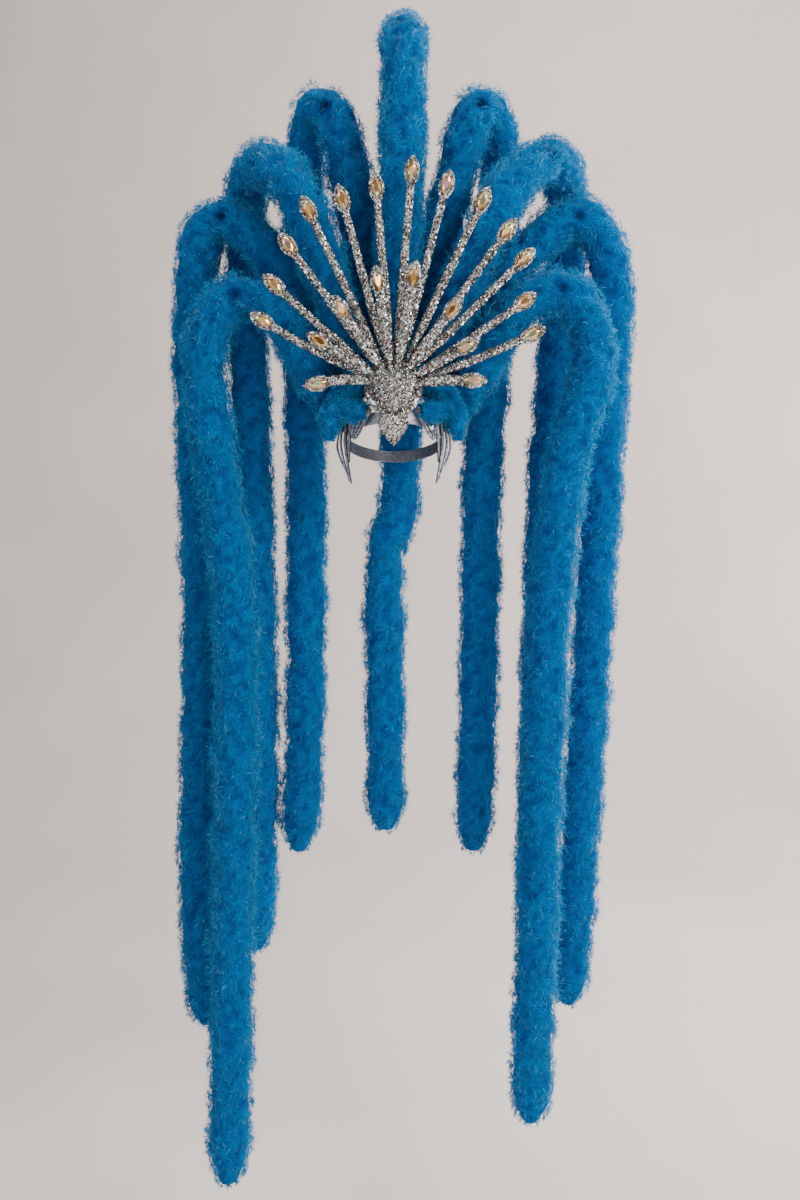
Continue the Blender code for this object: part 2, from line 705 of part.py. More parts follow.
make_head_frame()
boa_section = section_guide("boa_section", star(LOCK_RIDGES, LOCK_HOLLOW, BOA_DIAMETER / 2))
for arch in ARCHES:
    make_boa(arch, TAILS[arch.name], boa_section)
make_ruff()

long_section = section_guide("long_stem_section", oval(6, LONG_STEM_DEPTH, LONG_STEM_WIDTH))
for number, stem in enumerate(LONG_STEMS, 1):
    make_stem(
        f"long_stem_{number:02d}", stem, LONG_STEM, long_section,
        LONG_STEM_WIDTH, LONG_STEM_SPREAD, LONG_STEM_PLACE, LONG_STEM_FORWARD,
    )
short_section = section_guide("short_stem_section", oval(6, SHORT_STEM_DEPTH, SHORT_STEM_WIDTH))
for number, stem in enumerate(SHORT_STEMS, 1):
    make_stem(
        f"short_stem_{number}", stem, SHORT_STEM, short_section,
        SHORT_STEM_WIDTH, SHORT_STEM_SPREAD, SHORT_STEM_PLACE, SHORT_STEM_FORWARD,
    )
make_boss()
make_leaf_drop()
make_wing("wing_left", -1)
make_wing("wing_right", 1)
for name, side in (("mirror_left", -1), ("mirror_right", 1)):
    place = Vector((side * MIRROR_OUT, PLATE_FRONT - SEAT_GAP, FAN_HEIGHT - MIRROR_BELOW_HUB))
    make_mirror(name, place, Vector((0, -1, 0)))
scroll_end = SCROLL_RUN[3]
place, out = round_head(scroll_end.turn, scroll_end.height * WING_LIFT, SCROLL_THICKNESS + WING_SEAT_GAP, 1)
make_mirror("mirror_wing", place, out)
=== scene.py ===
import math

import bpy
import numpy as np
from mathutils import Matrix, Vector, geometry, kdtree


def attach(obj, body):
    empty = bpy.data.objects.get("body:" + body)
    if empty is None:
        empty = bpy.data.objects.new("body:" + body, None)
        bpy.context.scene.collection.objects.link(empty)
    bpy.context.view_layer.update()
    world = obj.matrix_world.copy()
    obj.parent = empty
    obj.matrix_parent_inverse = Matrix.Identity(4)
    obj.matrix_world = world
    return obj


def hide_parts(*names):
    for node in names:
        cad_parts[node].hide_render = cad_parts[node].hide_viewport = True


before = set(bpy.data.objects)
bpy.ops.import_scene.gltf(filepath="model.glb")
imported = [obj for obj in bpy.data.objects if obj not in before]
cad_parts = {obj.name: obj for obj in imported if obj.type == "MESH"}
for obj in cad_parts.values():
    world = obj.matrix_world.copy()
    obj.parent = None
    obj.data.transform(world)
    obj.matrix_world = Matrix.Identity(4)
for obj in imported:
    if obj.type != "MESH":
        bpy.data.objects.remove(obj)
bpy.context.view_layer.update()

# The view: a camera level with the chin of whoever wears the headdress, 1.9 m in front of the band
# and tipped a little down, so that the crest and the ends of the long tails are both in the picture.
CAMERA_PLACE = (0.011, -1.900, -0.075)
CAMERA_TIP = math.radians(6.6)
LENS_MM = 31.2

camera_data = bpy.data.cameras.new("camera")
camera_data.lens = LENS_MM
camera_data.sensor_fit = "VERTICAL"
camera_data.sensor_height = 36.0
camera_data.clip_end = 50.0
camera = bpy.data.objects.new("camera", camera_data)
bpy.context.scene.collection.objects.link(camera)
camera.location = CAMERA_PLACE
camera.rotation_euler = (math.radians(90) - CAMERA_TIP, 0.0, 0.0)
bpy.context.scene.camera = camera


# The studio: a pale floor that curves up into a pale wall, a large soft lamp high on the right, and
# weaker ones that fill the shadows and pick out the down's edges, so that the glitter sparkles. The
# wall stands far enough back for a camera to walk right round, and has two wash lights of its own.
FLOOR_HEIGHT = -1.675
WALL_BEHIND = 4.6
SWEEP_RADIUS = 2.4
STUDIO_HALF_WIDTH = 24.0
STUDIO_FRONT = -12.0
WALL_TOP = 5.0


def linear(hex_colour):
    """An sRGB hex colour as linear red, green and blue, with a full alpha."""
    shares = [int(hex_colour[i:i + 2], 16) / 255 for i in (1, 3, 5)]
    return (*(c / 12.92 if c <= 0.04045 else ((c + 0.055) / 1.055) ** 2.4 for c in shares), 1.0)


def add_node(tree, kind, inputs=None, stops=None, **settings):
    """Adds a node. Each input is a value, or the socket or node that feeds it: a node by its first output.

    stops are a ramp's places and colours.
    """
    node = tree.nodes.new(kind)
    for name, value in settings.items():
        setattr(node, name, value)
    for i, (place, colour) in enumerate(stops or []):
        elements = node.color_ramp.elements
        element = elements[i] if i < len(elements) else elements.new(place)
        element.position = place
        element.color = linear(colour)
    for name, value in (inputs or {}).items():
        if isinstance(value, bpy.types.Node):
            value = value.outputs[0]
        if isinstance(value, bpy.types.NodeSocket):
            tree.links.new(value, node.inputs[name])
        else:
            node.inputs[name].default_value = value
    return node


def new_material(name):
    """An empty material and its node tree."""
    material = bpy.data.materials.new(name)
    material.use_nodes = True
    tree = material.node_tree
    tree.nodes.clear()
    return material, tree


def mottled_finish(name, scale, detail, stops, gloss, peel=None):
    """A finish that drifts between two shades. peel is the strength and depth of relief in the drift."""
    material, tree = new_material(name)
    spot = add_node(tree, "ShaderNodeTexCoord")
    drift = add_node(tree, "ShaderNodeTexNoise",
                     {"Vector": spot.outputs["Object"], "Scale": scale, "Detail": detail})
    tint = add_node(tree, "ShaderNodeValToRGB", {"Fac": drift}, stops=stops)
    inputs = {"Base Color": tint, **gloss}
    if peel:
        inputs["Normal"] = add_node(
            tree, "ShaderNodeBump", {"Height": drift, "Strength": peel[0], "Distance": peel[1]})
    surface = add_node(tree, "ShaderNodeBsdfPrincipled", inputs)
    add_node(tree, "ShaderNodeOutputMaterial", {"Surface": surface})
    return material


def studio_sweep():
    """The floor and wall in one sheet, with a quarter round between them."""
    steps = 16
    profile = [(STUDIO_FRONT, FLOOR_HEIGHT)]
    for i in range(steps + 1):
        turn = math.pi / 2 * i / steps
        profile.append((
            WALL_BEHIND - SWEEP_RADIUS * (1 - math.sin(turn)),
            FLOOR_HEIGHT + SWEEP_RADIUS * (1 - math.cos(turn)),
        ))
    profile.append((WALL_BEHIND, WALL_TOP))
    places = [(x, y, z) for y, z in profile for x in (-STUDIO_HALF_WIDTH, STUDIO_HALF_WIDTH)]
    quads = [(2 * i, 2 * i + 1, 2 * i + 3, 2 * i + 2) for i in range(len(profile) - 1)]
    mesh = bpy.data.meshes.new("studio_sweep")
    mesh.from_pydata(places, [], quads)
    mesh.shade_smooth()
    return mesh


# Matt emulsion on plaster, a warm off-white: rolled on, so only a faint mottle shows.
plaster = mottled_finish("studio_plaster", 1.3, 3.0, [(0.3, "#dcd3cd"), (0.7, "#e4dcd6")],
                         {"Roughness": 0.9})

sweep = bpy.data.objects.new("studio_sweep", studio_sweep())
sweep.data.materials.append(plaster)
bpy.context.scene.collection.objects.link(sweep)

# name, place, aimed at, width and height in metres, watts, colour
LAMPS = [
    ("key_lamp", (1.9, -1.9, 1.4), (0.1, 0.0, 0.0), 1.3, 1.3, 92.0, "#fff6ee"),
    ("left_lamp", (-2.2, -1.7, 0.9), (0.0, 0.0, 0.0), 1.2, 1.8, 28.0, "#eef3ff"),
    ("low_fill", (1.0, -2.6, -0.8), (0.2, 0.0, -0.6), 1.8, 0.8, 34.0, "#ffffff"),
    ("top_lamp", (0.0, 0.2, 2.6), (0.0, 0.0, 0.3), 1.6, 1.0, 22.0, "#ffffff"),
    ("right_window", (2.5, 1.1, 0.1), (0.2, 0.0, -0.4), 1.0, 2.2, 85.0, "#f4f8ff"),
    ("wall_wash", (1.6, 1.2, 3.6), (1.3, 4.6, 0.0), 3.0, 0.8, 150.0, "#fff4ec"),
    ("low_wall_wash", (4.2, 2.2, -0.6), (2.6, 4.6, -0.8), 1.2, 1.6, 120.0, "#fff8f4"),
]
for name, place, aim, width, height, watts, colour in LAMPS:
    lamp = bpy.data.lights.new(name, "AREA")
    lamp.shape = "RECTANGLE"
    lamp.size = width
    lamp.size_y = height
    lamp.energy = watts
    lamp.color = linear(colour)[:3]
    holder = bpy.data.objects.new(name, lamp)
    bpy.context.scene.collection.objects.link(holder)
    holder.location = place
    holder.rotation_euler = (Vector(aim) - Vector(place)).to_track_quat("-Z", "Y").to_euler()

world = bpy.data.worlds.new("studio_air")
bpy.context.scene.world = world
world.use_nodes = True
world.node_tree.nodes.clear()
air = world.node_tree
facing = add_node(air, "ShaderNodeTexCoord")
panels = add_node(air, "ShaderNodeTexNoise",
                  {"Vector": facing.outputs["Generated"], "Scale": 3.2, "Detail": 1.0})
windows = add_node(air, "ShaderNodeValToRGB", {"Fac": panels}, stops=[
    (0.38, "#2a2b2e"), (0.50, "#9a9896"), (0.60, "#ffffff"),
])
glow = add_node(air, "ShaderNodeBackground", {"Color": windows, "Strength": 1.0})
# Past the edges of the floor a plain grey shows, and the panels are only seen as reflections.
ray = add_node(air, "ShaderNodeLightPath")
haze = add_node(air, "ShaderNodeBackground", {"Color": linear("#c4bfbb"), "Strength": 1.0})
seen = add_node(air, "ShaderNodeMixShader", {0: ray.outputs["Is Camera Ray"], 1: glow, 2: haze})
add_node(air, "ShaderNodeOutputWorld", {"Surface": seen})


# Nine boas of marabou: the down of turkey or chick, knotted on a cord in a thick spiral, dyed
# turquoise and tied to a springy wire that rises from the crown arch, bends over and lets it hang.
HEAD_WIDTH = 0.176
HEAD_DEPTH = 0.204
CROWN_RISE = 0.088
BAND_THICKNESS = 0.0025
ARCH_SET_BACK = 0.010
SEAT_GAP = 0.0003
BOA_DIAMETER = 0.085
BOA_LANE_GAP = 0.006
BOA_ROOT_DIAMETER = 0.024
BOA_ROOT_LENGTH = 0.140
BOA_TIP_LENGTH = 0.075
BOA_TIP_SHARE = 0.42
HALF_SPAN = 0.410
CREST_RISE = 0.708
TAIL_DROP = 1.420
LANE_PITCH = BOA_DIAMETER + BOA_LANE_GAP
FRONT_LANE = ARCH_SET_BACK - LANE_PITCH / 2
PATH_STEP = 0.004
PLUME_PITCH = 0.0021
BARBS_A_PLUME = 38
BARB_WIDTH = 0.0016

# name, root's turn over the crown, lane, then (x, z) of the lift, rise, crest and side, in shares of
# HALF_SPAN and CREST_RISE
ARCHES = [
    ("boa_centre", 90, 0.0, (0.012, 0.36), (0.040, 0.72), (0.040, 1.00), (0.035, 0.76)),
    ("boa_left_1", 108, 1.0, (-0.125, 0.34), (-0.185, 0.64), (-0.320, 0.85), (-0.415, 0.71)),
    ("boa_right_1", 72, 1.0, (0.150, 0.34), (0.260, 0.64), (0.405, 0.85), (0.490, 0.71)),
    ("boa_left_2", 127, 0.0, (-0.255, 0.33), (-0.400, 0.58), (-0.600, 0.69), (-0.690, 0.60)),
    ("boa_right_2", 53, 0.0, (0.270, 0.33), (0.470, 0.58), (0.700, 0.70), (0.800, 0.61)),
    ("boa_left_3", 146, 1.0, (-0.340, 0.27), (-0.560, 0.48), (-0.790, 0.56), (-0.900, 0.43)),
    ("boa_right_3", 34, 1.0, (0.360, 0.27), (0.600, 0.48), (0.850, 0.56), (0.985, 0.43)),
    ("boa_left_4", 166, 0.0, (-0.330, 0.13), (-0.490, 0.30), (-0.690, 0.34), (-0.810, 0.21)),
    ("boa_right_4", 14, 0.0, (0.340, 0.13), (0.530, 0.31), (0.740, 0.35), (0.860, 0.20)),
]
# lane, then (x, z) of the hang, knee, sway and foot, in shares of HALF_SPAN and TAIL_DROP
TAILS = {
    "boa_centre": (2.0, (0.020, 0.10), (-0.040, 0.14), (-0.045, 0.38), (-0.045, 0.55)),
    "boa_left_1": (2.0, (-0.420, 0.05), (-0.425, 0.20), (-0.440, 0.42), (-0.475, 0.58)),
    "boa_right_1": (2.0, (0.420, 0.05), (0.415, 0.20), (0.405, 0.42), (0.388, 0.58)),
    "boa_left_2": (2.0, (-0.672, 0.05), (-0.668, 0.22), (-0.668, 0.48), (-0.700, 0.73)),
    "boa_right_2": (2.0, (0.730, 0.05), (0.715, 0.22), (0.705, 0.46), (0.690, 0.68)),
    "boa_left_3": (1.4, (-0.910, 0.05), (-0.905, 0.26), (-0.950, 0.62), (-0.925, 0.82)),
    "boa_right_3": (1.4, (0.965, 0.05), (0.940, 0.24), (0.890, 0.58), (0.850, 0.79)),
    "boa_left_4": (0.0, (-0.770, 0.03), (-0.700, 0.22), (-0.735, 0.64), (-0.780, 1.00)),
    "boa_right_4": (0.0, (0.760, 0.02), (0.690, 0.20), (0.655, 0.60), (0.635, 0.91)),
}


def unit(vectors):
    """The same directions, each one long."""
    return vectors / np.maximum(np.linalg.norm(vectors, axis=-1, keepdims=True), 1e-9)


def turns_round(count):
    """Angles spread evenly round a circle."""
    return 2 * np.pi * np.arange(count) / count


def at_distance(distance, along, values):
    """The values, three a place, at a distance along a path."""
    return np.stack([np.interp(distance, along, values[:, k]) for k in range(3)], axis=-1)


def length_so_far(line):
    """How far each place of a line is along it."""
    return np.concatenate([[0.0], np.cumsum(np.linalg.norm(np.diff(line, axis=0), axis=1))])


def square_to(corners):
    """A vector square to each face at its first three corners, as long as twice their triangle's area."""
    return np.cross(corners[:, 1] - corners[:, 0], corners[:, 2] - corners[:, 0])


def crown_point(turn, stand_off):
    """A place over the crown arch, and the way straight out from it. turn is from the right ear."""
    half_width = HEAD_WIDTH / 2 + BAND_THICKNESS
    rise = CROWN_RISE + BAND_THICKNESS
    out = Vector((math.cos(turn) / half_width, 0, math.sin(turn) / rise)).normalized()
    foot = Vector((half_width * math.cos(turn), ARCH_SET_BACK, rise * math.sin(turn)))
    return foot + out * stand_off, out


def smooth_path(knots, step):
    """Places a step apart along one smooth curve through all the knots, and how far each is along it."""
    knots = [Vector(knot) for knot in knots]
    slopes = []
    for i in range(len(knots)):
        slopes.append((knots[min(i + 1, len(knots) - 1)] - knots[max(i - 1, 0)]).normalized())
    fine = [knots[0]]
    for i in range(len(knots) - 1):
        reach = (knots[i + 1] - knots[i]).length / 3
        handles = (knots[i] + slopes[i] * reach, knots[i + 1] - slopes[i + 1] * reach)
        fine += geometry.interpolate_bezier(knots[i], *handles, knots[i + 1], 40)[1:]
    fine = np.array(fine)
    travelled = length_so_far(fine)
    along = np.linspace(0.0, travelled[-1], max(2, round(travelled[-1] / step)) + 1)
    return at_distance(along, travelled, fine), along


def carried_frames(places):
    """Along a path: the way it runs and two ways across it, carried along without twisting."""
    runs = unit(np.gradient(places, axis=0))
    across = np.empty_like(runs)
    side = np.cross(runs[0], (0.0, 1.0, 0.0))
    for i, run in enumerate(runs):
        side = unit(side - run * np.dot(side, run))
        across[i] = side
    return runs, across, np.cross(runs, across)


def ways_out(turns, across, upright):
    """At each place of a path, the ways out from it at these turns round it."""
    return np.cos(turns)[None, :, None] * across[:, None] + np.sin(turns)[None, :, None] * upright[:, None]


def skin(rings):
    """Triangles over rings of equally many places, closed at both ends and facing out."""
    rings = np.asarray(rings)
    count, sides, _ = rings.shape
    first = np.arange(count - 1)[:, None] * sides
    here = first + np.arange(sides)
    after = first + (np.arange(sides) + 1) % sides
    triangles = np.concatenate([
        np.stack([here, after, after + sides], axis=-1).reshape(-1, 3),
        np.stack([here, after + sides, here + sides], axis=-1).reshape(-1, 3),
    ])
    places = np.concatenate([rings.reshape(-1, 3), [rings[0].mean(axis=0), rings[-1].mean(axis=0)]])
    near, far = len(places) - 2, len(places) - 1
    edge = np.arange(sides)
    turned = (edge + 1) % sides
    last = (count - 1) * sides
    triangles = np.concatenate([
        triangles,
        np.stack([turned, edge, np.full(sides, near)], axis=1),
        np.stack([edge + last, turned + last, np.full(sides, far)], axis=1),
    ])
    if np.linalg.det(places[triangles] - places.mean(axis=0)).sum() < 0:
        triangles = triangles[:, ::-1]
    return places, triangles


def together(shapes):
    """Several shapes, each its places and its triangles, as one."""
    places, triangles, count = [], [], 0
    for shape_places, shape_triangles in shapes:
        places.append(shape_places)
        triangles.append(shape_triangles + count)
        count += len(shape_places)
    return np.concatenate(places), np.concatenate(triangles)


def add_piece(name, shape, material, replaces=(), smooth=None, marks=None, normals=None):
    """Makes a piece of the object. smooth is the angle in degrees up to which its edges are soft.

    normals, one a place, is for down, whose fine barbs catch the light as the tuft they belong to does.
    """
    places, triangles = shape
    mesh = bpy.data.meshes.new(name)
    mesh.vertices.add(len(places))
    mesh.vertices.foreach_set("co", np.ascontiguousarray(places, np.float32).ravel())
    mesh.loops.add(len(triangles) * 3)
    mesh.loops.foreach_set("vertex_index", np.ascontiguousarray(triangles, np.int32).ravel())
    mesh.polygons.add(len(triangles))
    mesh.polygons.foreach_set("loop_start", np.arange(0, len(triangles) * 3, 3, dtype=np.int32))
    mesh.update(calc_edges=True)
    for label, values in (marks or {}).items():
        layer = mesh.attributes.new(label, "FLOAT", "POINT")
        layer.data.foreach_set("value", np.ascontiguousarray(values, np.float32))
    if smooth:
        mesh.shade_smooth()
        mesh.set_sharp_from_angle(angle=math.radians(smooth))
    mesh.validate()
    if normals is not None:
        mesh.shade_smooth()
        mesh.normals_split_custom_set_from_vertices(np.ascontiguousarray(normals, np.float32))
    mesh.materials.append(material)
    piece = bpy.data.objects.new(name, mesh)
    bpy.context.scene.collection.objects.link(piece)
    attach(piece, "root")
    if replaces:
        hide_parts(*replaces)
    return piece


# Dyed turkey down: matt and light-catching. Its colour is painted darkest in the folds near the cord as
# painted shade. The barbs' ends are so fine that light comes through them, and they are also painted lighter
# as a painted glow at the outline.
down, tree = new_material("dyed_marabou_down")
nearness = add_node(tree, "ShaderNodeAttribute", attribute_name="nearness")
shade = add_node(tree, "ShaderNodeAttribute", attribute_name="shade")
spot = add_node(tree, "ShaderNodeTexCoord")
# Nearness runs from the cord out to the barbs' ends: the dark low stops are painted shade in the folds, and
# the light top stop is a painted glow.
dye_with_painted_shade_and_glow = add_node(tree, "ShaderNodeValToRGB", {"Fac": nearness.outputs["Fac"]}, stops=[
    (0.34, "#001f44"), (0.56, "#004688"), (0.66, "#006ab0"), (0.77, "#0088c6"), (0.88, "#0098d2"),
    (1.00, "#7ccde8"),
])
# Clumps 17 mm across, as the plumes mat together.
clumps = add_node(tree, "ShaderNodeTexNoise",
                  {"Vector": spot.outputs["Object"], "Scale": 58.0, "Detail": 4.0, "Roughness": 0.62})
patch = add_node(tree, "ShaderNodeMath", {0: shade.outputs["Fac"], 1: clumps}, operation="ADD")
level = add_node(tree, "ShaderNodeMapRange", {
    "Value": patch, "From Min": 0.55, "From Max": 1.45, "To Min": 0.70, "To Max": 1.32,
})
dyed_with_painted_shade = add_node(tree, "ShaderNodeVectorMath", {0: dye_with_painted_shade_and_glow, "Scale": level}, operation="SCALE")
barb = add_node(tree, "ShaderNodeBsdfPrincipled", {
    "Base Color": dyed_with_painted_shade, "Roughness": 0.85, "Specular IOR Level": 0.06,
    "Sheen Weight": 0.60, "Sheen Roughness": 0.4, "Sheen Tint": linear("#8fdcf2"),
})
through = add_node(tree, "ShaderNodeBsdfTranslucent", {"Color": dyed_with_painted_shade})
both = add_node(tree, "ShaderNodeMixShader", {0: 0.48, 1: barb, 2: through})
add_node(tree, "ShaderNodeOutputMaterial", {"Surface": both})

TUFT_RADIUS = 0.014
TUFT_HEART = 0.42
TUFT_CROWN = 0.86
GOLDEN_TURN = math.radians(137.5)
LUMP_LENGTH = 0.012
INNER_SIDES = 20
INNER_SHARE = 0.76
INNER_RISE = 0.10
COMB = 0.35
BARB_START_MOST = 0.94
STANDING_SHARE = 0.42
STANDING_WIDTH = 0.65
STANDING_OWN_FACING = 0.45
# Least and most, first for barbs that stand out and then for those that lie over the mass. All but
# the climb, which is in degrees, are in shares of how far the strand reaches from its cord.
BARB_STARTS = ((0.78, 0.94), (0.76, 0.95))
BARB_CLIMBS = ((26.0, 82.0), (2.0, 34.0))
BARB_LENGTHS = ((0.24, 0.50), (0.28, 0.52))
BARB_ENDS = ((0.98, 1.30), (0.90, 1.04))
# How much lighter the ends of standing and lying barbs are painted, as a painted glow at the outline.
BARB_PAINTED_GLOW_ENDS = (0.02, 0.03)
TIE_WIDTH = 0.011
TIE_DEPTH = 0.42
# The tie's painted shade: how much darker the down is painted in the pinch.
TIE_PAINTED_SHADE = 0.58


def marabou(name, places, along, reach, plume_pitch, barbs, seed, replaces, tied_at=None):
    """A strand of down: a close mass of tufts round a cord, and fine barbs that lie over it or stand out.

    reach is how far the down stands from the cord at each place of the path. Every plume ends in a
    tuft. Its barbs spread from the tuft and are combed along the cord, so the strand looks soft.
    tied_at is a distance along it where a thread to the wire pinches its front.
    """
    draw = np.random.default_rng(seed)
    runs, across, upright = carried_frames(places)
    plumes = int(along[-1] / plume_pitch)
    distance = (np.arange(plumes) + draw.uniform(0.1, 0.9, plumes)) * plume_pitch
    turn = np.arange(plumes) * GOLDEN_TURN + draw.normal(0.0, 0.30, plumes)
    cord, run = at_distance(distance, along, places), unit(at_distance(distance, along, runs))
    out = unit(np.cos(turn)[:, None] * at_distance(distance, along, across)
               + np.sin(turn)[:, None] * at_distance(distance, along, upright))
    size = np.interp(distance, along, reach) * (1 + 0.06 * np.sin(2 * turn + distance / LUMP_LENGTH))
    heart = cord + out * (size * TUFT_HEART)[:, None]
    crown = cord + out * (size * TUFT_CROWN)[:, None]

    tufts = kdtree.KDTree(plumes)
    for i, place in enumerate(crown):
        tufts.insert(place, i)
    tufts.balance()
    ways = ways_out(turns_round(INNER_SIDES), across[::2], upright[::2])
    inner_reach = np.repeat(reach[::2], INNER_SIDES)[:, None]
    inner_ways = ways.reshape(-1, 3)
    inner_cords = np.repeat(places[::2], INNER_SIDES, axis=0)
    shell = inner_cords + inner_ways * inner_reach * TUFT_CROWN
    nearest = [tufts.find(place)[1:] for place in shell]
    own = np.array([index for index, gap in nearest])
    gap = np.array([gap for index, gap in nearest])
    rise = 1 - np.minimum(gap / (TUFT_RADIUS * inner_reach[:, 0] / BOA_DIAMETER * 2), 1.0) ** 2
    inner_share = INNER_SHARE + INNER_RISE * rise + draw.normal(0.0, 0.012, len(rise))
    inner = skin((inner_cords + inner_ways * inner_reach * inner_share[:, None]).reshape(-1, INNER_SIDES, 3))
    inner_facing = np.concatenate([unit(inner[0][:-2] - heart[own]), -runs[:1], runs[-1:]])
    # The mass's nearness is raised on the tufts and lowered between them, so the ramp paints shade into the
    # creases.
    inner_near = np.concatenate([inner_share - 0.02 + 0.05 * rise, np.full(2, 0.8)])

    def pinched(down_places):
        """Draws the down round the tie in towards the cord, and gives the painted shade that darkens it
        there.
        """
        if tied_at is None:
            return down_places, 0.0
        held = at_distance(tied_at, along, places)
        knot = held + np.array((0.0, -1.0, 0.0)) * np.interp(tied_at, along, reach)
        fall = np.exp(-(np.linalg.norm(down_places - knot, axis=-1) / TIE_WIDTH) ** 2)
        return down_places + (held - down_places) * TIE_DEPTH * fall[..., None], TIE_PAINTED_SHADE * fall

    each = np.repeat(np.arange(plumes), barbs)
    count = len(each)
    standing = draw.uniform(0.0, 1.0, count) < STANDING_SHARE

    def drawn(ranges):
        """A draw for each barb from the range for its kind."""
        return np.where(standing, *(draw.uniform(least, most, count) for least, most in ranges))

    any_way = unit(draw.normal(size=(count, 3)))
    to_side = unit(np.cross(out[each], any_way))
    to_side = unit(to_side + run[each] * COMB)
    start = cord[each] + unit(out[each] + to_side * draw.uniform(0.0, 0.30, count)[:, None]) * (
        size[each] * drawn(BARB_STARTS))[:, None]
    climb = np.radians(drawn(BARB_CLIMBS))
    way = unit(np.cos(climb)[:, None] * to_side + np.sin(climb)[:, None] * out[each])
    length = size[each] * drawn(BARB_LENGTHS)
    curl = unit(draw.normal(size=(count, 3))) * 0.38 + np.array((0.0, 0.0, -0.10))
    middle = start + way * (length * 0.5)[:, None]
    tip = start + unit(way + curl) * length[:, None]

    def held_in(ends, most_share):
        """Draws ends of barbs that are too far out back towards the cord, and says how far out they are."""
        offset = ends - cord[each]
        level = run[each] * np.sum(offset * run[each], axis=1)[:, None]
        outward = offset - level
        far = np.linalg.norm(outward, axis=1)
        most = size[each] * most_share
        keep = np.minimum(1.0, most / np.maximum(far, 1e-6))
        return cord[each] + level + outward * keep[:, None], np.minimum(far, most) / size[each]

    start, near_start = held_in(start, BARB_START_MOST)
    farthest = drawn(BARB_ENDS)
    middle, near_middle = held_in(middle, BARB_START_MOST + (farthest - BARB_START_MOST) * 0.55)
    tip, near_tip = held_in(tip, farthest)
    flat = unit(np.cross(way, unit(out[each] * 0.6 + any_way)))
    half = BARB_WIDTH / 2 * draw.uniform(0.75, 1.3, count) * np.where(standing, STANDING_WIDTH, 1.0)
    corners = np.stack([start, middle + flat * half[:, None], middle - flat * half[:, None], tip], axis=1)
    # The barbs' ends get a painted glow: their nearness is raised so the ramp makes them lighter.
    painted_glow = np.where(standing, *BARB_PAINTED_GLOW_ENDS)
    near = np.stack([near_start, near_middle + painted_glow / 2, near_middle + painted_glow / 2, near_tip + painted_glow], axis=1)
    facing = unit(corners - heart[each][:, None]) + draw.normal(0.0, 0.16, (count, 1, 3))
    turned = np.sum(square_to(corners) * facing[:, 0], axis=1) < 0
    corners[turned, 1:3] = corners[turned, 2:0:-1]
    # A barb that stands free of the mass catches light from every side, so it keeps its own facing.
    own = np.where(standing, STANDING_OWN_FACING, 0.0)[:, None, None]
    facing = unit(facing) * (1 - own) + unit(square_to(corners))[:, None] * own
    first = np.arange(count)[:, None] * 4
    triangles = np.concatenate([first + (0, 1, 2), first + (2, 1, 3)])
    tints = draw.normal(0.5, 0.11, plumes)[each][:, None] + draw.normal(0.0, 0.05, (count, 1))

    # The painted shade round the tie is taken off the nearness, so the down is painted darker in the pinch.
    inner_places, inner_painted_shade = pinched(inner[0])
    corners, depth = pinched(corners)
    inner_near, near = inner_near - inner_painted_shade, near - depth
    shape = together([(inner_places, inner[1]), (corners.reshape(-1, 3), triangles)])
    marks = {
        "nearness": np.concatenate([inner_near, near.ravel()]) / 1.2,
        "shade": np.concatenate([np.full(len(inner[0]), 0.5), np.repeat(tints, 4)]),
    }
    normals = np.concatenate([inner_facing, unit(facing).reshape(-1, 3)])
    return add_piece(name, shape, down, replaces, marks=marks, normals=normals)


# The cord that the plumes are knotted on: white cotton in two strands, matt and a little grubby. Its
# end hangs out of the longest tail.
CORE_CORD = 0.0034
CORE_LAY = 0.006
cotton = mottled_finish("white_cotton_cord", 500.0, 3.0, [(0.3, "#c9c3b8"), (0.7, "#f1ede4")],
                        {"Roughness": 0.9})


def rounded_end(left, span):
    """How full a strand of down is at a distance from its end, over the span where it narrows."""
    return BOA_TIP_SHARE + (1 - BOA_TIP_SHARE) * np.sin(np.minimum(left / span, 1.0) * np.pi / 2)


def twisted_cord(line, outs, thickness, lay):
    """A two-strand cord laid along a line, standing out from it by half its thickness."""
    line = np.array(line) + np.array(outs) * thickness * 0.45
    places, along = smooth_path(line, 0.0009)
    _, across, upright = carried_frames(places)
    turns = turns_round(8)
    lobes = 1 + 0.24 * np.cos(2 * turns[None, :] - 2 * np.pi * along[:, None] / lay)
    return skin(places[:, None] + ways_out(turns, across, upright) * (lobes * thickness / 2)[:, :, None])


